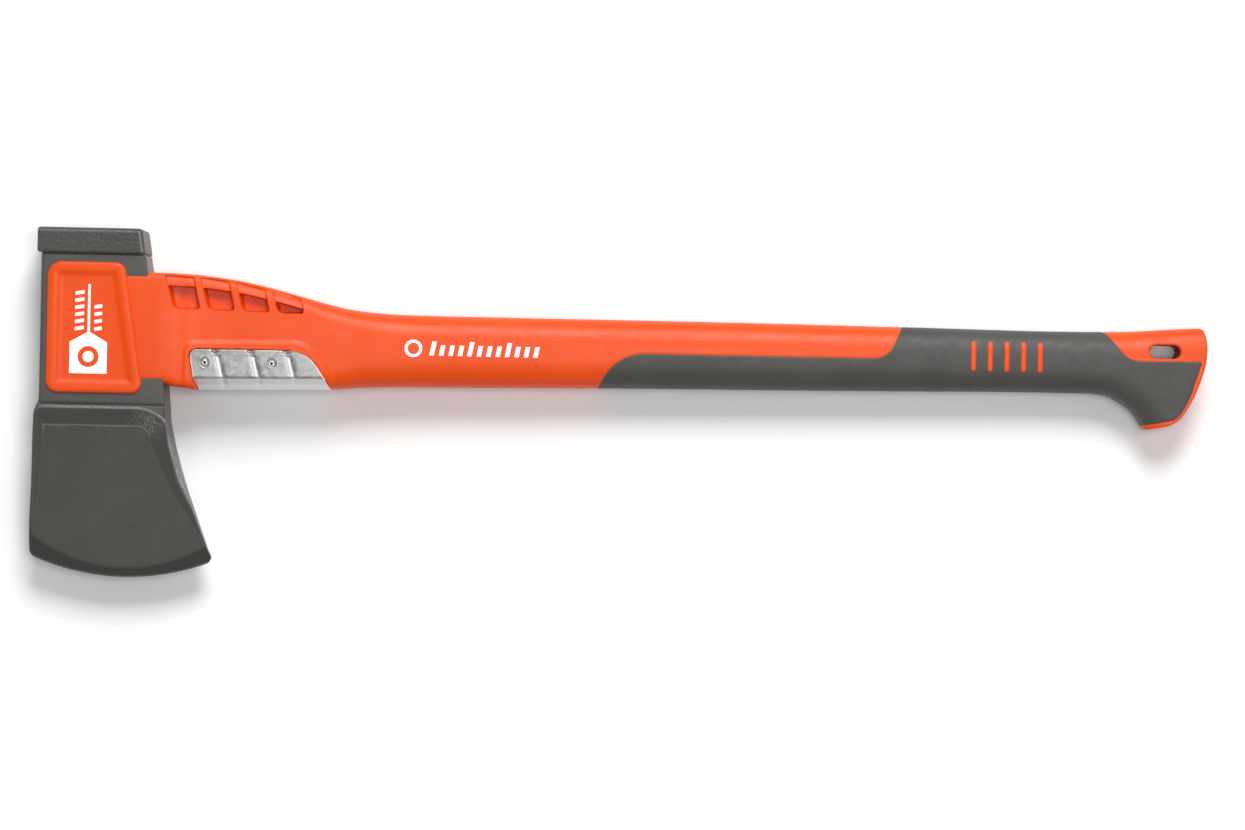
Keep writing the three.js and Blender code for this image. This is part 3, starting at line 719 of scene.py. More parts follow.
@dataclass
class AxeHead:
    """The forging: a hammer poll that stands proud, the eye's block, a shoulder and the sunk wedge."""

    face_columns: int = 150
    wall_columns: int = 12
    collar_left: float = 3.6
    collar_right: float = 65.4
    collar_slant: float = 0.16
    collar_height: float = 15.0
    collar_round: float = 1.7
    collar_foot_round: float = 1.5
    body_half: float = 21.6
    body_round: float = 1.3
    body_end: float = -33.0
    shoulder_crest: float = -37.2
    shoulder_slope: float = 1.5
    blade_start: float = -44.0
    blade_round: float = 1.2
    hollow_top: float = -49.6
    hollow_half: float = 16.0
    floor_slope: float = 0.1514
    crease: float = 0.16
    side_x: tuple[float, float] = (0.5, 107.5)
    corner_start: float = 0.965
    corner_span: float = 0.035
    corner_cut: tuple[float, float] = (2.2, 2.0)
    edge_middle: float = 57.0
    edge_radius: float = 138.0
    edge_half: float = 0.4
    bevel_slope: float = 0.49
    bevel_crease: float = 0.1

    def __post_init__(self) -> None:
        """Sets up the curves of the side and front views."""
        self.blank = curve_through(
            [(-150, 3.6), (-132.8, 5.0), (-106, 8.9), (-80.2, 13.9), (-62, 18.8), (-44, 24), (60, 24)]
        )
        self.toe = curve_through(
            [(-131, 0), (-122, 0), (-80, 1.6), (-50, 2.8), (-42, 3.4), (-38, 4.6), (-33, 6), (60, 6)]
        )
        self.heel = curve_through(
            [(-127.5, 108.6), (-122, 106.6), (-111, 102.7), (-97, 97.7), (-83.4, 92.6), (-68.7, 87.6),
             (-54, 83.2), (-44, 81), (-37, 80.6), (-33, 80.4), (53, 67.6), (60, 66.6)]
        )
        top = self.hollow_top
        self.hollow_edge = rounded(
            [(68.8, top, 7), (-60, top, 0), (-60, -220, 0), (260, -220, 0), (112, -133, 0), (97.5, -106, 40),
             (84.9, -86.5, 60)]
        )
        self.wall_slope = curve_through([(-120, 0.25), (-100, 0.26), (-86, 0.32), (-62, 0.5), (-50, 0.56)])
        self.toe_wall = curve_through([(-139, -2), (-108, 3.0), (-71, 6.9), (-52, 8.6), (-30, 9.4)])

    def edge_y(self, x: Array) -> Array:
        """Height of the cutting edge: an arc of the edge's radius through its lowest point."""
        return EDGE_Y + self.edge_radius - np.sqrt(self.edge_radius**2 - (x - self.edge_middle) ** 2)

    def cheek(self, x: Array, y: Array) -> tuple[Array, dict[str, Array]]:
        """Half thickness over the side view.

        Args:
            x: from the toe side.
            y: height.

        Returns:
            The forged blank, cut by a sunk floor with sloping walls and by a bevel that falls away in proportion
            to the distance from the edge's centre; and masks of where each of them rules, which also carry
            painted highlights along the top of the hollow and the foot of its wall, painted shade on the bevel
            and shoulder, and a painted glint.
        """
        shoulder = np.maximum(HEAD_HALF - self.shoulder_slope * (y - self.shoulder_crest), self.body_half)
        blank = np.minimum(self.blank(y), shoulder)
        floor = self.hollow_half + (y - self.hollow_top) * self.floor_slope
        outside = np.maximum(-inside_distance(np.stack([x, y], -1), self.hollow_edge), 0)
        wall = np.hypot(outside * self.wall_slope(y), np.maximum(self.toe_wall(y) - x, 0))
        sunk = floor + wall
        reach = self.edge_radius - np.hypot(x - self.edge_middle, y - EDGE_Y - self.edge_radius)
        bevel = self.edge_half + np.maximum(reach, 0) * self.bevel_slope
        half = soft_min(soft_min(blank, sunk, self.crease), bevel, self.bevel_crease)
        on_blade, on_wall = ease(-34, -37, y), sunk < blank
        # Painted shade on the shoulder band just above the hollow's top edge, so that only the line below it
        # shows bright.
        crest = ease(-34.6, -35.2, y) * ease(-37.4, -36.8, y)
        # Painted highlights: a bright line along the top edge of the hollow, and one along the foot of its wall.
        ridge = hump(blank - sunk, 0.42) * ease(-1, 1.5, wall) * ease(3, 12, x)
        foot = 0.6 * hump(wall - 0.25, 0.3) * ease(-60, -50, y) * (wall > 0)
        # Painted shade over the bevel, which faces away from the light.
        painted_shade = ease(0.05, -0.25, bevel - np.minimum(blank, sunk))
        # Masks: edge mixes wear with painted highlights, bevel is painted shade, streak is a painted glint.
        masks = {
            "grain": on_blade * np.where(on_wall, 0.1 * ease(0.1, 1.4, wall), 0.2 * ease(-42, -58, y)),
            "edge": np.clip((ridge + foot) * on_blade + 0.5 * hump(reach, 0.7), 0, 1),
            "bevel": np.maximum(painted_shade * on_blade, crest),
            "streak": hump(x - 71.5, 9) * hump(y + 46.5, 7.5) * ease(0.3, 1.0, wall) * on_wall,
        }
        return np.where(y < self.body_end - 0.4, half, blank), masks

    def rows(self) -> dict[str, Array]:
        """The stations from the middle of the hammer face down to the edge.

        Returns:
            For each row: height, how far in it is on the toe side, heel side and cheeks, edge round, and share
            of the way to the cutting edge.
        """
        low = POLL_Y - self.collar_height
        turn, foot = self.collar_round, self.collar_foot_round
        table = [(POLL_Y, inset, inset, inset, turn) for inset in (HEAD_HALF, 18.0, 10.0, 4.0, 2.4)]
        for angle in np.radians(np.arange(0, 91, 15)):
            inset = turn * (1 - math.sin(angle))
            table.append((POLL_Y - turn * (1 - math.cos(angle)), inset, inset, inset, turn))
        table += [(y, 0, 0, 0, turn) for y in np.linspace(POLL_Y - 3, low + 2.6, 7)]
        for angle in np.radians(np.arange(0, 91, 18)):
            inset = foot * (1 - math.cos(angle))
            table.append((low + foot * (1 - math.sin(angle)), inset, inset * 0.6, inset, turn))
        groove = ((0, 2.3, 1.0, 2.3), (0.05, 0.5, 1.4, 2.9), (0.5, 0.6, 1.5, 3.0), (0.9, 0.1, 0.5, 2.5))
        table += [(low - below, *insets, self.body_round) for below, *insets in groove]
        end = self.body_end
        to_end = ((low - 1.2, 44, 1.6), (44, -24, 4), (-24, end, 1.2))
        body = steps(*to_end, (end, -39.5, 0.5), (-39.5, self.blade_start, 0.6))
        table += [(y, 0, 0, HEAD_HALF - self.body_half, self.body_round) for y in body]
        down = steps((0, 0.92, 0.0068), (0.92, 1, 0.0045))[1:]
        blade = [(self.blade_start, 0, 0, 0, self.blade_round)] * len(down)
        made = dict(zip(("y", "toe", "heel", "cheek", "edge"), np.array(table + blade, float).T))
        made["down"] = np.concatenate([np.zeros(len(table)), down])
        return made

    def shell(self) -> Shell:
        """Rings round the head: over one cheek, round the heel side, back over the other, up the toe side."""
        row = {name: values[:, None] for name, values in self.rows().items()}
        y, down = row["y"], row["down"]
        low = POLL_Y - self.collar_height
        collar = y > low - 1e-6
        plain_half = HEAD_HALF - row["cheek"]

        def height(x: Array) -> Array:
            """Height of each row at x: level as far as the blade, then fanned out to the curved edge."""
            return y + down * (self.edge_y(x) - self.blade_start)

        def at(x: Array) -> tuple[Array, Array, dict[str, Array]]:
            """Height, half thickness and masks at x of each row."""
            here = height(x)
            half, masks = self.cheek(x, here)
            return here, np.where(here > self.body_end, plain_half, half), masks

        corner = np.maximum(down - self.corner_start, 0) / self.corner_span
        at_toe, at_heel = (np.array(x) for x in self.side_x)
        toe_cut, heel_cut = self.corner_cut
        left = np.where(collar, self.collar_left, self.toe(height(at_toe))) + row["toe"] + toe_cut * corner**2
        slanted = self.collar_right + (POLL_Y - y) * self.collar_slant
        right = np.where(collar, slanted, self.heel(height(at_heel))) - row["heel"] - heel_cut * corner**2
        lip = self.collar_right + self.collar_height * self.collar_slant - row["heel"]
        right = np.where((y <= low) & (y > low - 1), np.minimum(right, lip), right)

        left_y, left_z, _ = at(left)
        right_y, right_z, right_masks = at(right)
        block = plain_half + HEAD_HALF * down
        round_left = np.minimum(row["edge"], 0.8 * np.minimum(left_z, block))
        round_right = np.minimum(row["edge"], 0.8 * np.minimum(right_z, block))
        share = np.linspace(0, 1, self.face_columns)[None, :]
        face = left + round_left + (right - round_right - left - round_left) * share
        face_y, face_z, face_masks = at(face)
        arc = np.radians([25, 50, 75])[None, :]
        heel_arc = right - round_right * (1 - np.sin(arc))
        heel_y, heel_z, heel_masks = at(heel_arc)
        heel_z = heel_z - round_right * (1 - np.cos(arc))
        # Painted shade: a dark line along the heel side's rounded edge, below the shoulder.
        heel_masks["bevel"] = np.maximum(heel_masks["bevel"], ease(-37, -41, heel_y))
        toe_arc = left + round_left * (1 - np.sin(arc))
        toe_y, toe_z, toe_masks = at(toe_arc)
        toe_z = toe_z - round_left * (1 - np.cos(arc))
        wall = np.linspace(1, -1, self.wall_columns)[None, :]
        heel_wall = (right_z - round_right) * wall
        toe_wall = (left_z - round_left) * wall

        def across(x: Array, y_there: Array, z: Array) -> Array:
            """One stretch of every ring."""
            return np.stack(np.broadcast_arrays(x, y_there, z), -1)

        def flip(a: Array) -> Array:
            """The stretch run the other way."""
            return a[:, ::-1]

        stretches = [
            across(face, face_y, face_z),
            across(heel_arc, heel_y, heel_z),
            across(right, right_y, heel_wall),
            across(flip(heel_arc), flip(heel_y), -flip(heel_z)),
            across(flip(face), flip(face_y), -flip(face_z)),
            across(toe_arc, toe_y, -toe_z),
            across(left, left_y, -toe_wall),
            across(flip(toe_arc), flip(toe_y), flip(toe_z)),
        ]
        points = np.concatenate(stretches, axis=1)
        masks = {}
        for name, on_face in face_masks.items():
            on_heel, on_toe = heel_masks[name], toe_masks[name]
            bare = np.zeros_like(heel_wall)
            heel_side = bare + right_masks[name] * (0.5 if name == "grain" else 0.0)
            around = [on_face, on_heel, heel_side, flip(on_heel), flip(on_face), on_toe, bare, flip(on_toe)]
            masks[name] = np.concatenate(around, axis=1)
        self._age(points, masks, collar[:, 0])
        points = np.concatenate([points, points[-1:] * [1, 1, 0]])
        masks = {name: np.concatenate([values, values[-1:]]) for name, values in masks.items()}
        return Shell(points, masks)

    def _age(self, points: Array, masks: dict[str, Array], collar: Array) -> None:
        """Adds the collar's cast grain and rim wear, and the body's faint grain and rubbed corners.

        Args:
            points: the rings.
            masks: the masks to add to, changed in place.
            collar: which rows belong to the collar.
        """
        x, y, z = points[..., 0], points[..., 1], np.abs(points[..., 2])
        on_collar = np.broadcast_to(collar[:, None], x.shape)
        to_heel = self.collar_right + (POLL_Y - y) * self.collar_slant - x
        cheek_rim = hump(np.minimum(to_heel, POLL_Y - y) - 2.0, 0.5) * (z > HEAD_HALF - 1.5)
        to_side = np.minimum.reduce([x - self.collar_left, to_heel, HEAD_HALF - z])
        poll_rim = hump(to_side - 1.9, 0.6) * (y > POLL_Y - 1)
        masks["grain"] = np.where(on_collar, 1.0, np.maximum(masks["grain"], 0.05))
        masks["edge"] = np.where(on_collar, 0.75 * np.maximum(cheek_rim, poll_rim), masks["edge"])
        below_cheek = self.body_half - z
        rubbed = 0.18 * hump(0.8 - below_cheek, 0.5) * (below_cheek < 1.2) * (y < 52) * (y > -30)
        masks["edge"] = np.maximum(masks["edge"], rubbed)

    def build(self, shop: Workshop, finish: bpy.types.Material) -> None:
        """Makes the head."""
        shop.finish(shop.mesh("axe_head_forging", [self.shell()]), finish, Slot.STEEL, "axe_head")


# ---------------------------------------------------------------- handle


@dataclass
class Handle:
    """The moulded handle: its outside as sections along a pair of rails, and what is pressed into it."""

    neck_start: float = 41.0
    seam: float = 212.0
    butt_start: float = 600.0
    grip_start: float = 322.0
    end_round: float = 2.4
    bend_start: float = 608.0
    boss_rise: float = 1.3
    flange_depth: float = 0.55
    core_half: float = 6.0
    pocket_first: float = 84.4
    pocket_pitch: float = 20.5
    pocket_width: float = 16.0
    pocket_count: int = 4
    pocket_depth: float = 8.0
    pocket_foot: float = 20.9
    pocket_fall: float = 0.5
    pocket_front: tuple[float, float] = (0.265, 0.966)
    pocket_rear: tuple[float, float] = (0.22, 0.977)
    pocket_round: float = 2.3
    pocket_run: tuple[float, float, float] = (1.9, 0.75, 1.15)
    lintel: float = 7.4
    ledge_below: float = 1.9
    ledge_depth: float = 1.5
    slot: tuple[float, float, float, float] = (674.6, 8.0, 18.2, 7.9)
    slot_round: float = 1.5
    bar_first: float = 560.4
    bar_pitch: float = 9.93
    bar_count: int = 5
    bar_size: tuple[float, float] = (18.2, 3.1)
    panel_z: float = 22.58

    def __post_init__(self) -> None:
        """Sets up the rails, the thickness and the squareness along the handle."""
        self.top = curve_through(
            [(41, 42.4), (80, 42.3), (96, 41.7), (104, 41.1), (116, 39.7), (128, 37.8), (140, 35.2),
             (152, 32.3), (164, 29), (176, 25.9), (188, 23.3), (200, 21.8), (218, 20.7), (242, 20.4),
             (400, 20.3), (517, 19.7), (577, 19.1), (600, 18.95), (636, 19.3), (655, 19.9), (673, 21.1),
             (690, 22.1), (700, 22.6)]
        )
        self.top_x = curve_through(
            [(560, 560), (600, 600), (636, 637), (655, 655), (673, 671.5), (690, 686), (700, 695.5)]
        )
        self.bottom = curve_through(
            [(41, -23.3), (78, -23.3), (84.8, -25), (93.7, -26), (98, -26.7), (176, -25.2), (186, -24.4),
             (196, -23.5), (219, -22.7), (290, -21.7), (362, -20.5), (458, -19.6), (518, -18.8),
             (578, -17.9), (600, -17.75), (632, -17.8), (645, -18.4), (655, -20.1), (667, -23.6),
             (680, -27.6), (690, -32.3), (700, -37.2)]
        )
        self.bottom_x = curve_through(
            [(560, 560), (600, 600), (632, 629), (645, 638), (655, 644), (667, 650.4), (680, 656.3),
             (690, 660.3), (700, 663)]
        )
        self.half = curve_through(
            [(41, 22.2), (74, 22.2), (86, 21.6), (104, 20), (140, 18.9), (178, 17.6), (210, 15.4),
             (240, 14.7), (300, 14.5), (460, 14.1), (600, 14.3), (652, 15.9), (672, 16), (700, 15.8)]
        )
        self.power = curve_through(
            [(41, 14), (84, 13), (110, 10), (150, 6.5), (180, 4), (200, 3.1), (240, 2.6), (640, 2.5),
             (672, 2.9), (700, 3.3)]
        )
        self.end = np.array(
            [(663, -37.2), (663.8, -38.2), (665.4, -38.6), (671.2, -37.6), (679, -35.7), (683.2, -33.1),
             (686.2, -30), (689, -25.4), (692.1, -19.5), (694.9, -12.8), (697.4, -5.8), (699.2, 1.4),
             (700, 9.8), (699.6, 15.4), (698.5, 19.6), (697.3, 21.9), (695.5, 22.6)]
        )
        chord = self.end[-1] - self.end[0]
        length = float(chord @ chord)
        rel = self.end - self.end[0]
        share = walked(self.end) / walked(self.end)[-1]
        self.end_along = curve_through(list(zip(share, rel @ chord / length)))
        self.end_out = curve_through(list(zip(share, rel @ np.array([chord[1], -chord[0]]) / length)))
        self.grip_area = rounded(
            [(316, -60, 0), (650, -60, 0), (655, -37.8, 0), (683.6, -32.3, 8), (690.4, -17.6, 40),
             (696.8, 2.4, 1), (653.2, 1.9, 14), (605.2, 60, 0), (534, 60, 0), (510, 0.5, 14),
             (348.2, 0.3, 28)]
        )
        self.boss = rounded(
            [(88.8, -60, 0), (186.5, -60, 0), (180.5, -12.5, 26), (163.5, 5.0, 22), (88.8, 3.4, 8)]
        )

    def sections(self, stations: Array, side_rows: int, edge_rows: int) -> Array:
        """Closed rings along the handle.

        Args:
            stations: distances along it; past the start of the butt they count along its rails.
            side_rows: points down each cheek.
            edge_rows: points on each of the four corners.

        Returns:
            Points where share of height to the power p plus share of thickness to the power p is 1, on a line
            from the lower rail to the upper one that bends into the butt's end curve as the stations near it.
        """
        q = stations[:, None]
        p = self.power(q)
        corner = 2 ** (-1 / p)
        thick = corner * np.sin(np.linspace(0, np.pi / 2, edge_rows, endpoint=False))[None, :]
        high = (1 - thick**p) ** (1 / p)
        side = corner * np.linspace(1, -1, side_rows)[None, :]
        side_thick = (1 - np.abs(side) ** p) ** (1 / p)
        v = np.concatenate([high, side, -high[:, ::-1]], 1)
        w = np.concatenate([thick, side_thick, thick[:, ::-1]], 1)
        v = np.concatenate([v, v[:, -2:0:-1]], 1)
        w = np.concatenate([w, -w[:, -2:0:-1]], 1)
        low = np.stack([np.where(q > self.butt_start, self.bottom_x(q), q), self.bottom(q)], -1)
        top = np.stack([np.where(q > self.butt_start, self.top_x(q), q), self.top(q)], -1)
        chord = top - low
        out = np.stack([chord[..., 1], -chord[..., 0]], -1)
        bend = np.clip((q - self.bend_start) / (TOOL_LENGTH - self.bend_start), 0, 1) ** 1.5
        t = (1 + v) / 2
        along = (1 - bend) * t + bend * self.end_along(t)
        flat = low + along[..., None] * chord + (bend * self.end_out(t))[..., None] * out
        left = np.maximum(1 - np.maximum(q - TOOL_LENGTH + self.end_round, 0) / self.end_round, 0)
        rim = 1 - self.end_round / 16 * (1 - np.sqrt(np.maximum(1 - (1 - left) ** 2, 0)))
        z = self.half(q) * w * rim
        return np.concatenate([flat, z[..., None]], -1)

    @staticmethod
    def normals(points: Array) -> Array:
        """Unit normals of rings: the cross product of the steps along and around, facing away from z = 0."""
        along = np.gradient(points, axis=0)
        around = np.roll(points, -1, axis=1) - np.roll(points, 1, axis=1)
        normal = np.cross(along, around)
        normal /= np.maximum(np.linalg.norm(normal, axis=-1, keepdims=True), 1e-9)
        outward = (normal[..., 2] * points[..., 2]).sum() > 0
        return normal if outward else -normal

    @staticmethod
    def capped(points: Array) -> Array:
        """Rings closed at both ends by a copy of the end ring pressed flat onto z = 0."""
        flat = np.array([1, 1, 0])
        return np.concatenate([points[:1] * flat, points, points[-1:] * flat])

    def cheek_z(self, x: Array, y: Array) -> Array:
        """Half thickness of the shaft at a point of its side view."""
        middle, up = (self.top(x) + self.bottom(x)) / 2, (self.top(x) - self.bottom(x)) / 2
        p = self.power(x)
        return self.half(x) * (1 - np.clip(np.abs(y - middle) / up, 0, 1) ** p) ** (1 / p)

    def seam_dip(self, points: Array, inside_grip: bool) -> Array:
        """How far a surface drops so that handle and grip meet in a fine groove along the grip's outline.

        Args:
            points: the surface.
            inside_grip: whether the surface is the grip's, which shows inside the outline.

        Returns:
            A narrow bell on the outline, and a full millimetre on the far side of it.
        """
        inside = inside_distance(points[..., :2], self.grip_area)
        hidden = -inside if inside_grip else inside
        return 0.22 * hump(inside, 0.55) + 1.0 * ease(0.0, 2.2, hidden)

    def slot_dip(self, points: Array) -> Array:
        """Rounds the mouth of the hanging slot: a quarter round over the last stretch before its wall."""
        x, y, length, width = self.slot
        reach = (length - width) / 2
        away = np.hypot(np.maximum(np.abs(points[..., 0] - x) - reach, 0), points[..., 1] - y) - width / 2
        share = np.clip(1 - away / self.slot_round, 0, 1)
        return self.slot_round * (1 - np.sqrt(np.maximum(1 - share**2, 0)))

    def carve_neck(self, points: Array) -> Array:
        """Presses the neck's features straight in from both cheeks.

        Args:
            points: the neck's rings.

        Returns:
            The rings with the raised boss round the guard, the blind pockets under their ledges, the line under
            the top flange and the room for the guard.
        """
        x, y, z = points[..., 0], points[..., 1], points[..., 2]
        half = np.abs(z)
        width = self.half(x)
        boss = ease(0.0, 4.0, inside_distance(points[..., :2], self.boss))
        fall = self.boss_rise * (1 - boss) * ease(84, 96, x) * ease(208, 184, x)
        half = half * (1 - fall / width)
        below_top = self.top(x) - y
        flange = hump(below_top - 1.8, 0.5) * ease(78.6, 79.4, x) * ease(167, 163, x)
        half = half - self.flange_depth * flange * (half > self.core_half)
        for i in range(self.pocket_count):
            base = self.pocket_foot - self.pocket_fall * i
            foot = self.pocket_first + i * self.pocket_pitch
            lean, true = self.pocket_front
            from_front = (x - foot + lean * (y - base)) * true
            lean, true = self.pocket_rear
            from_rear = (foot + self.pocket_width - lean * (y - base) - x) * true
            within = np.minimum(from_front, from_rear)
            band = ease(-0.15, 0.45, within) * ease(self.ledge_below - 0.3, self.ledge_below + 0.5, below_top)
            band = band * ease(self.lintel + 0.9, self.lintel + 0.1, below_top)
            bulge = 0.45 * ease(self.ledge_below, self.lintel, below_top)
            short = [
                np.maximum(self.pocket_round - away / run, 0) ** 2
                for away, run in zip((from_front, from_rear, y - base), self.pocket_run)
            ]
            miss = np.sqrt(sum(short))
            wall = ease(0, 1, (self.pocket_round - miss) * 0.95)
            wall = wall * ease(self.lintel - 0.1, self.lintel + 0.45, below_top)
            depth = np.maximum((self.ledge_depth - bulge) * band, self.pocket_depth * wall)
            half = half - depth * (half > self.core_half)
        guard = StrikeGuard()
        room = guard.room(x, y)
        lean = guard.lean(x, y)
        half = half * (1 - room) + np.minimum(half, guard.inner_half(y - lean)) * room
        y = y * (1 - room) + np.maximum(y, guard.sole + lean + guard.sheet + 0.3) * room
        return np.stack([x, y, np.sign(z) * half], -1)

    def sunk(self, points: Array, drop: Array) -> Shell:
        """Rings lowered along their normals and closed at both ends."""
        return Shell(self.capped(points - self.normals(points) * drop[..., None]))

    def neck(self) -> Shell:
        """The neck, with a mesh fine enough for its pockets."""
        stations = steps((self.neck_start, 76, 3), (76, 168, 0.44), (168, 190, 0.7), (190, self.seam, 1.1))
        return Shell(self.capped(self.carve_neck(self.sections(stations, 138, 10))))

    def shaft(self) -> Shell:
        """The rest of the handle, sunk where the grip covers it."""
        stations = steps(
            (self.seam, 230, 1.5), (230, 324, 4), (324, 372, 0.8), (372, 498, 4), (498, 524, 0.7),
            (524, 600, 4), (600, 694, 0.8), (694, 697.6, 0.5), (697.6, 700, 0.3),
        )
        points = self.sections(stations, 90, 14)
        return self.sunk(points, self.seam_dip(points, False) + self.slot_dip(points))

    def grip(self) -> Shell:
        """The soft grip, which shows inside its outline and dips under the handle's skin outside it."""
        stations = steps(
            (self.grip_start, 372, 0.8), (372, 498, 4), (498, 524, 0.7), (524, 600, 4), (600, 697, 0.8)
        )
        points = self.sections(stations, 90, 14)
        return self.sunk(points, self.seam_dip(points, True))

    def bars(self) -> list[Shell]:
        """The handle's raised bars on each cheek, which stand through the grip."""
        made = []
        length, width = self.bar_size
        for i in range(self.bar_count):
            x = self.bar_first + self.bar_pitch * i
            for side in Side:
                rings, heights = [], []
                for inset, rise in ((0.0, -0.3), (0.05, 0.2), (0.35, 0.42), (0.8, 0.5), (1.55, 0.52)):
                    ring = slot_outline(x, 3.0, length - 2 * inset, width - 2 * inset, True)
                    rings.append(ring)
                    heights.append(self.cheek_z(ring[:, 0], ring[:, 1]) + rise)
                made.append(pillow(rings, heights, side, heights[0] - 1.5, spine=True))
        return made

    def cheek_plates(self) -> list[Shell]:
        """The flanged plates on the head's cheeks: a crowned rim round a sunk panel."""
        outer = [(10.0, -29.8, 7.0), (67.8, -29.8, 6.5), (55.6, 47.8, 6.5), (10.0, 47.8, 8.5)]
        profile = [
            (0.0, 21.4), (0.0, 22.3), (0.12, 22.8), (0.4, 23.2), (0.9, 23.55), (1.6, 23.75), (2.6, 23.85),
            (4.2, 23.85), (5.2, 23.78), (6.0, 23.55), (6.8, 23.2), (7.6, 22.87), (8.3, 22.68), (9.0, 22.6),
            (10.5, self.panel_z), (16.0, self.panel_z),
        ]
        rings = [rounded(moved_corners(outer, inset), 12) for inset, _ in profile]
        heights = [height for _, height in profile]
        return [pillow(rings, heights, side, 20.0) for side in Side]

    def cut_slot(self, piece: bpy.types.Object, place: ToolFrame) -> None:
        """Cuts the hanging slot right through a piece.

        Args:
            piece: the object to cut, whose mesh is replaced.
            place: where the tool lies.
        """
        x, y, length, width = self.slot
        ring = slot_outline(x, y, length, width, False, 17)
        middle = np.broadcast_to([x, y], ring.shape)
        layers = [(middle, -30.0), (ring, -30.0), (ring, 30.0), (middle, 30.0)]
        shell = Shell(np.stack([np.column_stack([line, np.full(len(ring), z)]) for line, z in layers]))
        cutter = Workshop(place).mesh("slot_cutter", [shell])
        cut = piece.modifiers.new("slot", "BOOLEAN")
        cut.operation = "DIFFERENCE"
        cut.solver = "EXACT"
        cut.object = cutter
        mesh = bpy.data.meshes.new_from_object(piece.evaluated_get(bpy.context.evaluated_depsgraph_get()))
        piece.modifiers.remove(cut)
        piece.data = mesh
        smooth(mesh)
        bpy.data.objects.remove(cutter)

    def build(self, shop: Workshop, orange: bpy.types.Material, rubber: bpy.types.Material) -> None:
        """Makes the handle, its plates and bars, and the grip."""
        shop.finish(shop.mesh("handle_neck", [self.neck()]), orange, Slot.ORANGE, "handle_core")
        shaft = shop.mesh("handle_shaft", [self.shaft()])
        self.cut_slot(shaft, shop.place)
        shop.finish(shaft, orange, Slot.ORANGE, "handle_core")
        shop.finish(shop.mesh("handle_cheek_plates", self.cheek_plates()), orange, Slot.ORANGE, "handle_core")
        shop.finish(shop.mesh("handle_grip_bars", self.bars()), orange, Slot.ORANGE, "handle_core")
        grip = shop.mesh("soft_grip_sleeve", [self.grip()])
        self.cut_slot(grip, shop.place)
        shop.finish(grip, rubber, Slot.RUBBER, "soft_grip")


@dataclass
class BorePlug:
    """The plug that closes the handle's bore, flush with the end of the butt."""

    radius: float = 4.6
    y: float = -9.0
    start: float = 686.0

    def build(self, shop: Workshop, orange: bpy.types.Material, handle: Handle) -> None:
        """Makes the plug: rings along X up to the butt's end curve, with a shallow dish and a fine lip."""
        angle = 2 * np.pi * np.arange(48) / 48
        layers = []
        buried = [(0, None), (1, None)]
        shown = [(1, 0.15), (0.97, 0.4), (0.9, 0.45), (0.82, 0.3), (0.7, 0.12), (0, 0.1)]
        for share, rise in buried + shown:
            y = self.y + self.radius * share * np.cos(angle)
            z = self.radius * share * np.sin(angle)
            surface = np.interp(y, handle.end[2:-3, 1], handle.end[2:-3, 0])
            x = np.full_like(y, self.start) if rise is None else surface + rise
            layers.append(np.stack([x, y, z], 1))
        piece = shop.mesh("bore_plug_cap", [Shell(np.stack(layers))])
        shop.finish(piece, orange, Slot.ORANGE, "bore_plug")


# ---------------------------------------------------------------- guard and rivets


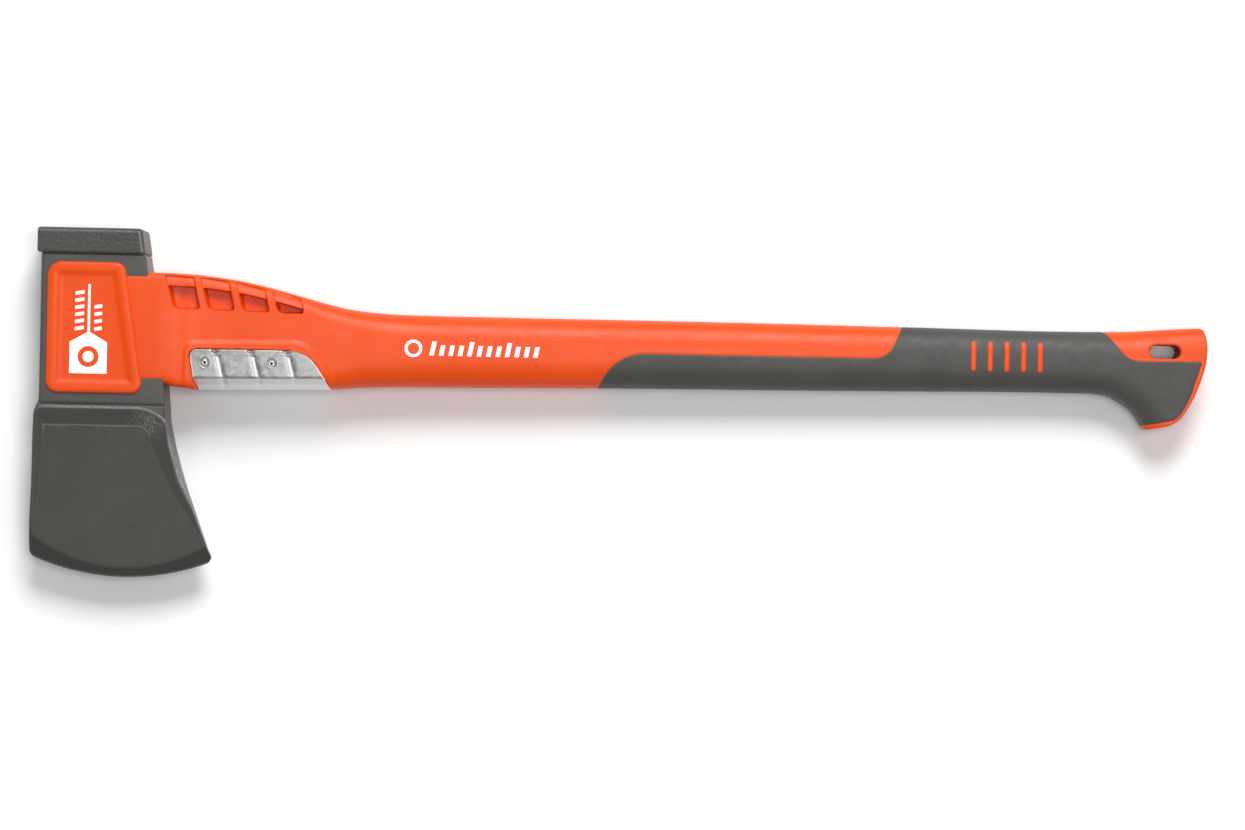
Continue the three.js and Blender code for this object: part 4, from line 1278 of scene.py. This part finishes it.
@dataclass
class StrikeGuard:
    """The folded steel guard under the neck, with its pressed grooves and the rivets' dimples."""

    top: float = -2.7
    side_half: float = 17.7
    sheet: float = 1.2
    fold_side: float = -19.7
    facet: float = -23.7
    facet_half: float = 13.6
    sole: float = -26.8
    sole_half: float = 7.2
    grooves: tuple[float, ...] = (112.4, 133.6, 154.6)
    rivets: tuple[float, ...] = (103.4, 143.1)
    rivet_y: float = -10.4
    columns: int = 190
    groove_lean: float = 0.235
    groove_middle: float = -12.5
    groove_stretch: float = 1.03
    groove_depth: float = 0.5
    groove_half: float = 1.7
    notch_ahead: float = 3.2
    notch_depth: float = 1.1
    dimple_radius: float = 3.3
    dimple_depth: float = 0.5
    edge_soft: float = 0.18

    def __post_init__(self) -> None:
        """Sets up the front and rear ends in the side view."""
        self.front = curve_through(
            [(-27, 99.6), (-21.1, 97), (-12, 95.3), (-7.3, 94.6), (-5, 94.9), (-3.8, 95.8), (-3, 97.2),
             (-2.7, 98.6)]
        )
        self.rear = curve_through(
            [(-27, 178.6), (-24.8, 177.1), (-19.4, 173.9), (-13.5, 170.4), (-8.7, 167), (-5.4, 163),
             (-3.9, 159.6), (-3, 156), (-2.7, 153)]
        )

    def lean(self, x: Array, y: Array) -> Array:
        """How much higher the fold lies than at the front: in proportion to x, and least at the top edge."""
        return (x - 94.6) * 0.0195 * (0.25 + 0.75 * ease(self.top, self.fold_side + 1, y))

    def room(self, x: Array, y: Array) -> Array:
        """1 where the guard lies against the handle and 0 outside it, with a narrow rounded lip."""
        from_front, from_rear = x - self.front(y) + 0.45, (self.rear(y) + 0.55 - x) * 0.62
        return ease(-0.25, 0.3, np.minimum.reduce([from_front, from_rear, self.top + 0.55 - y]))

    def inner_half(self, y: Array) -> Array:
        """Half thickness of the room under the guard, following its fold."""
        clear = self.sheet + 0.3
        levels = [self.sole + clear, self.facet + 0.5 * clear, self.fold_side]
        widths = [self.sole_half - 0.4, self.facet_half - 0.9 * clear, self.side_half - clear]
        return np.interp(y, levels, widths)

    def profile(self) -> Array:
        """The fold from one top edge down round the sole to the other, as (y, z)."""
        corners = [
            (-60.0, 0.0, 0.0), (self.side_half, self.top, 0.0), (self.side_half, self.fold_side, 2.6),
            (self.facet_half, self.facet, 2.2), (self.sole_half, self.sole, 2.4), (0.0, self.sole, 0.0),
        ]
        bends = rounded(corners, 7)[7:-7]
        far = walked(bends)
        even = steps((0, 3, 0.25), (3, far[-1], 0.5))
        z = np.interp(even, far, bends[:, 0])
        y = np.interp(even, far, bends[:, 1])
        return np.stack([np.concatenate([y, y[-2::-1]]), np.concatenate([z, -z[-2::-1]])], 1)

    def pressed(self, x: Array, y: Array) -> tuple[Array, Array]:
        """How far the sheet is pressed in, and where painted highlights go: a stroke in each groove, and a
        painted reflection on the facet below the fold.
        """
        depth, bright = np.zeros_like(x), np.zeros_like(x)
        for groove in self.grooves:
            across = (x - groove - self.groove_lean * (self.groove_middle - y)) / self.groove_stretch
            length = ease(-5.2, -7.4, y) * ease(-27.4, -24.4, y)
            depth += length * self.groove_depth * hump(across, self.groove_half)
            # Painted highlight: a bright stroke down each groove.
            bright += 0.6 * length * hump(across + 0.2, 0.8) * ease(-20.5, -18.5, y)
            depth += self.notch_depth * hump(x - groove + self.notch_ahead, 1.5) * ease(-5.4, -3.0, y)
        # Painted reflection: the facet below the fold made bright.
        bright += 0.6 * ease(-19.8, -20.6, y)
        for rivet in self.rivets:
            away = np.hypot(x - rivet, y - self.rivet_y)
            rim = self.dimple_radius
            depth += self.dimple_depth * ease(rim, 2.1, away) - 0.14 * hump(away - rim, 0.45)
        return depth, bright

    def shell(self) -> Shell:
        """The outer skin from end to end, then the inner skin back: rings along X of a closed sheet."""
        fold = self.profile()
        height, side = fold[:, 0][None, :], fold[:, 1][None, :]
        share = np.linspace(0, 1, self.columns)[:, None]
        reach = np.maximum(height, -26.9)
        x = self.front(reach) + (self.rear(reach) - self.front(reach)) * share
        depth, bright = self.pressed(x, np.broadcast_to(height, x.shape))
        on_side = ease(6, 10, np.abs(side))
        slope = np.gradient(fold, axis=0)
        slope /= np.linalg.norm(slope, axis=1, keepdims=True)
        out_y, out_z = slope[:, 1][None, :], -slope[:, 0][None, :]
        turn = np.sign((out_z * side).sum())
        out_y, out_z = out_y * turn, out_z * turn
        dip = 0.7 * sum(hump(x - g + self.notch_ahead, 1.3) for g in self.grooves) * ease(-6, -3, height)

        def skin(inwards: float) -> Array:
            """The sheet's surface at a depth."""
            move = depth * on_side + inwards
            y = height + self.lean(x, height) - dip - out_y * move
            return np.stack(np.broadcast_arrays(x, y, side - out_z * move), -1)

        soft = self.edge_soft
        outer, inner = skin(0), skin(self.sheet)
        outer[0, :, 0] += soft
        outer[-1, :, 0] -= soft
        rim_out, rim_in = skin(soft), skin(self.sheet - soft)
        around = [outer, rim_out[-1:], rim_in[-1:], inner[::-1], rim_in[:1], rim_out[:1]]
        rows = np.concatenate(around)
        ends = ease(0.9, 0.2, np.minimum(x - x[:1], x[-1:] - x))
        # Bright edge: near white at the sheared ends and along the top edge, as bare steel with painted
        # highlight, added to the painted highlights and reflection from pressed().
        edge = np.clip(bright + 0.8 * ends + 0.9 * ease(self.top - 0.6, self.top - 0.2, height), 0, 1)
        lip = np.ones_like(edge[:1])
        mask = np.concatenate([edge, lip, lip, edge[::-1], lip, lip])
        return self._ring(rows, mask)

    @staticmethod
    def _ring(rows: Array, mask: Array) -> Shell:
        """Rings across the fold, closed along the two top edges by pressing the ends together.

        Args:
            rows: rings along X, one for each point of the fold.
            mask: the bright edge.

        Returns:
            The shell with its rings as columns and a flat closing ring at each end.
        """
        points = np.swapaxes(rows, 0, 1)
        values = np.swapaxes(mask, 0, 1)
        count = points.shape[1]
        across = (count - 5 - np.arange(count)) % count
        middle = (points + points[:, across]) / 2
        lip = np.ones_like(values[:1])
        closed = np.concatenate([middle[:1], points, middle[-1:]])
        return Shell(closed, {"edge": np.concatenate([lip, values, lip])})

    def rivet(self, x: float, side: Side) -> Shell:
        """A blind rivet: a profile of radius and height turned about Z, with the hole of its mandrel."""
        profile = [
            (0, -7, 0), (1.5, -7, 0), (1.5, -0.1, 0), (2.15, 0.0, 0), (2.2, 0.25, 0), (2.05, 0.6, 0),
            (1.75, 0.92, 0), (1.35, 1.14, 0), (1.0, 1.18, 0), (0.82, 1.05, 0.3), (0.74, 0.6, 1),
            (0.7, 0.1, 1), (0, 0.1, 1),
        ]
        # The third column is how much painted shade goes on each ring, full inside the mandrel's hole.
        radius, height, hole = (np.array(column)[:, None] for column in zip(*profile))
        angle = 2 * np.pi * np.arange(40)[None, :] / 40
        z = (self.side_half - 0.42 + height) * np.ones_like(angle)
        across, up = x + radius * np.cos(angle), self.rivet_y + radius * np.sin(angle)
        return Shell(np.stack([across, up, side.value * z], -1), {"hole": hole * np.ones_like(angle)})

    def build(self, shop: Workshop, sheet: bpy.types.Material, bright: bpy.types.Material) -> None:
        """Makes the guard and its four rivets."""
        shop.finish(shop.mesh("strike_guard_sheet", [self.shell()]), sheet, Slot.SHEET, "strike_guard")
        for end, x in zip(("front", "rear"), self.rivets):
            for side in Side:
                hand = side.name.lower()
                piece = shop.mesh(f"rivet_{end}_{hand}", [self.rivet(x, side)])
                shop.finish(piece, bright, Slot.RIVET, f"guard_rivet_{end}_{hand}")


# ---------------------------------------------------------------- prints


@dataclass
class Prints:
    """Plain white marks where the tool is printed: a pointed badge and bars on the cheeks and the shaft."""

    panel_z: float = Handle.panel_z
    film: float = 0.05
    foot: float = 0.4
    badge_middle: tuple[float, float] = (34.9, -8.4)
    window: float = 6.2
    dot: float = 3.3
    badge_points: int = 40
    figure_height: float = 2.1
    figure_lean: float = 0.18
    bar_first: float = 236.5
    bar_pitch: float = 5.6
    bar_count: int = 12
    bar_foot: float = -3.4
    bar_lean: float = 0.2
    bar_width: float = 2.7
    bar_heights: tuple[float, float] = (8.4, 6.2)

    def flat_mark(self, outline: Array, side: Side) -> Shell:
        """A mark on the flat panel of a cheek plate."""
        top = self.panel_z + self.film
        return pillow([outline, outline], [top - 0.03, top], side, self.panel_z - 0.5)

    def ring_mark(
        self, outer: Array, inner: Array, under: tuple[Array | float, Array | float], side: Side
    ) -> Shell:
        """A mark with a hole in it: outer wall, top, inner wall and underside as one closed band.

        Args:
            outer: its outline.
            inner: the outline of the hole, point for point.
            under: height of the surface along each of them.
            side: the cheek that it lies on.

        Returns:
            The band, from a little under the surface to a film's thickness above it.
        """
        on_outer, on_inner = under
        layers = [
            (outer, on_outer - self.foot), (outer, on_outer + self.film), (inner, on_inner + self.film),
            (inner, on_inner - self.foot), (outer, on_outer - self.foot),
        ]
        return Shell(np.stack([on_cheek(outline, z, side) for outline, z in layers]))

    def badge(self, side: Side) -> list[Shell]:
        """A pointed badge, open in the middle for a dot, with a staff above it and bars on either hand."""
        body = np.array([(23.8, -18.4), (46.0, -18.4), (46.0, 0.2), (35.0, 6.6), (23.8, 0.2), (23.8, -18.4)])
        far = walked(body)
        between = np.linspace(0, far[-1], self.badge_points - 5, endpoint=False) + 0.4
        at = np.sort(np.concatenate([far[:-1], between]))
        outer = np.stack([np.interp(at, far, body[:, 0]), np.interp(at, far, body[:, 1])], 1)
        out = outer - self.badge_middle
        angle = np.arctan2(out[:, 1], out[:, 0])
        circle = np.stack([np.cos(angle), np.sin(angle)], 1)
        window, dot = (self.badge_middle + radius * circle for radius in (self.window, self.dot))
        staff = np.array([(34.2, 6.0), (35.7, 6.0), (35.7, 34.5), (34.2, 34.5)])
        made = [self.ring_mark(outer, window, (self.panel_z, self.panel_z), side)]
        made += [self.flat_mark(outline, side) for outline in (dot, staff)]
        made += [self._figure(29.4, y, 5.4, side) for y in (8.4, 12.6, 16.8, 21.0, 25.2, 29.4)]
        made += [self._figure(40.4, y, 4.6, side) for y in (8.2, 12.6, 17.0, 21.4)]
        return made

    def _figure(self, x: float, y: float, width: float, side: Side) -> Shell:
        """A small solid bar, leaning with its row."""
        u, v = width / 2, self.figure_height / 2
        bar = rounded([(-u, -v, 0.4), (u, -v, 0.4), (u, v, 0.4), (-u, v, 0.4)], 4)
        return self.flat_mark(bar @ np.array([[1, self.figure_lean], [0, 1]]) + [x, y], side)

    def shaft_bars(self, handle: Handle, side: Side) -> list[Shell]:
        """A ring and a row of leaning bars on the shaft, laid on its curve."""
        outer, inner = (slot_outline(227.0, 0.6, size, size - 0.1, False, 19) for size in (10.5, 6.9))
        under = handle.cheek_z(outer[:, 0], outer[:, 1]), handle.cheek_z(inner[:, 0], inner[:, 1])
        made = [self.ring_mark(outer, inner, under, side)]
        tall, small = self.bar_heights
        for i in range(self.bar_count):
            rise = np.linspace(self.bar_foot, self.bar_foot + (tall if i % 4 == 0 else small), 7)
            x = self.bar_first + self.bar_pitch * i + self.bar_lean * (rise - self.bar_foot)
            left = np.stack([x, rise], 1)
            ring = np.concatenate([left, left[::-1] + [self.bar_width, 0]])
            z = handle.cheek_z(ring[:, 0], ring[:, 1])
            low, high = on_cheek(ring, z - self.foot, side), on_cheek(ring, z + self.film, side)
            made.append(Shell(np.stack([self._spine(low), low, high, self._spine(high)])))
        return made

    @staticmethod
    def _spine(ring: Array) -> Array:
        """A bar's long axis, with each point of its ring drawn in to it."""
        half = len(ring) // 2
        across = (ring[:half] + ring[half:][::-1]) / 2
        return np.concatenate([across, across[::-1]])

    def build(self, shop: Workshop, ink: bpy.types.Material, handle: Handle) -> None:
        """Makes the prints on both cheeks and on the shaft."""
        cheek = [shell for side in Side for shell in self.badge(side)]
        shop.finish(shop.mesh("cheek_marks", cheek), ink, Slot.ORANGE)
        shaft = [shell for side in Side for shell in self.shaft_bars(handle, side)]
        shop.finish(shop.mesh("shaft_marks", shaft), ink, Slot.ORANGE)


# ---------------------------------------------------------------- studio


@dataclass
class Studio:
    """A pale sweep of floor under soft light, seen from straight above."""

    height: float = 2.72
    lens: float = 130.56
    roll: float = 1.2
    aim: tuple[float, float] = (0.0022, -0.00075)
    floor_half: float = 6.0
    floor_paint: tuple[float, float] = (0.93, 0.95)
    walls: float = 0.62
    ceiling: float = 0.12
    horizon: tuple[float, float] = (0.35, 0.95)
    sensor: float = 36.0
    key: tuple[Place, float, float] = ((0.25, 2.2, 2.4), 1.3, 86.0)
    top: tuple[Place, float, float] = ((0.38, 0.02, 2.95), 0.9, 28.0)

    def build(self) -> None:
        """Makes floor, lights and camera."""
        scene = bpy.context.scene
        scene.view_settings.view_transform = "Standard"
        self._floor()
        self._light("key", *self.key)
        self._light("top", *self.top)
        scene.world = self._room()
        camera = bpy.data.objects.new("camera", bpy.data.cameras.new("camera"))
        camera.data.lens = self.lens
        camera.data.sensor_width = self.sensor
        camera.location = (*self.aim, self.height)
        camera.rotation_euler = (0, 0, math.radians(self.roll))
        scene.collection.objects.link(camera)
        scene.camera = camera

    def _room(self) -> bpy.types.World:
        """White walls under a dark ceiling: bright from the side, so that rims shine, and dim from above."""
        world = bpy.data.worlds.new("studio")
        world.use_nodes = True
        tree = world.node_tree
        coords = tree.nodes.new("ShaderNodeTexCoord")
        split = tree.nodes.new("ShaderNodeSeparateXYZ")
        tree.links.new(coords.outputs["Generated"], split.inputs["Vector"])
        fade = tree.nodes.new("ShaderNodeMapRange")
        fade.interpolation_type = "SMOOTHSTEP"
        names = ("From Min", "From Max", "To Min", "To Max")
        for name, value in zip(names, (*self.horizon, self.walls, self.ceiling)):
            fade.inputs[name].default_value = value
        tree.links.new(split.outputs["Z"], fade.inputs["Value"])
        tree.links.new(fade.outputs["Result"], tree.nodes["Background"].inputs["Strength"])
        tree.nodes["Background"].inputs["Color"].default_value = (1, 1, 1, 1)
        return world

    def _floor(self) -> None:
        """A large plane with a pale, faintly uneven paint."""
        mesh = bpy.data.meshes.new("floor")
        h = self.floor_half
        mesh.from_pydata([(-h, -h, 0), (h, -h, 0), (h, h, 0), (-h, h, 0)], [], [(0, 1, 2, 3)])
        floor = bpy.data.objects.new("floor", mesh)
        bpy.context.scene.collection.objects.link(floor)
        n = Nodes("studio_floor")
        dark, pale = ((grey, grey, grey) for grey in self.floor_paint)
        n.link(n.mix(n.noise(3.0, 2), dark, pale), n.shader.inputs["Base Color"])
        n.set(Roughness=0.9, Specular_IOR_Level=0.1)
        mesh.materials.append(n.material)

    @staticmethod
    def _light(name: str, place: Place, size: float, power: float) -> None:
        """A square soft light that faces the origin and doesn't show itself."""
        data = bpy.data.lights.new(name, "AREA")
        data.size = size
        data.energy = power
        light = bpy.data.objects.new(name, data)
        light.location = place
        x, y, z = place
        light.rotation_euler = (math.atan2(math.hypot(x, y), z), 0, math.atan2(x, -y))
        light.visible_camera = False
        bpy.context.scene.collection.objects.link(light)


def main() -> None:
    """Builds the studio and every sub-assembly, and reports each piece."""
    logging.basicConfig(level=logging.INFO, format="%(name)s: %(message)s")
    Studio().build()
    shop = Workshop(ToolFrame())
    steel, orange, rubber = CoatedSteel().material(), Polyamide().material(), Elastomer().material()
    handle = Handle()
    AxeHead().build(shop, steel)
    handle.build(shop, orange, rubber)
    BorePlug().build(shop, orange, handle)
    StrikeGuard().build(shop, Galvanised().material(), RivetSteel().material())
    Prints().build(shop, PrintInk().material(), handle)


if __name__ == "__main__":
    main()
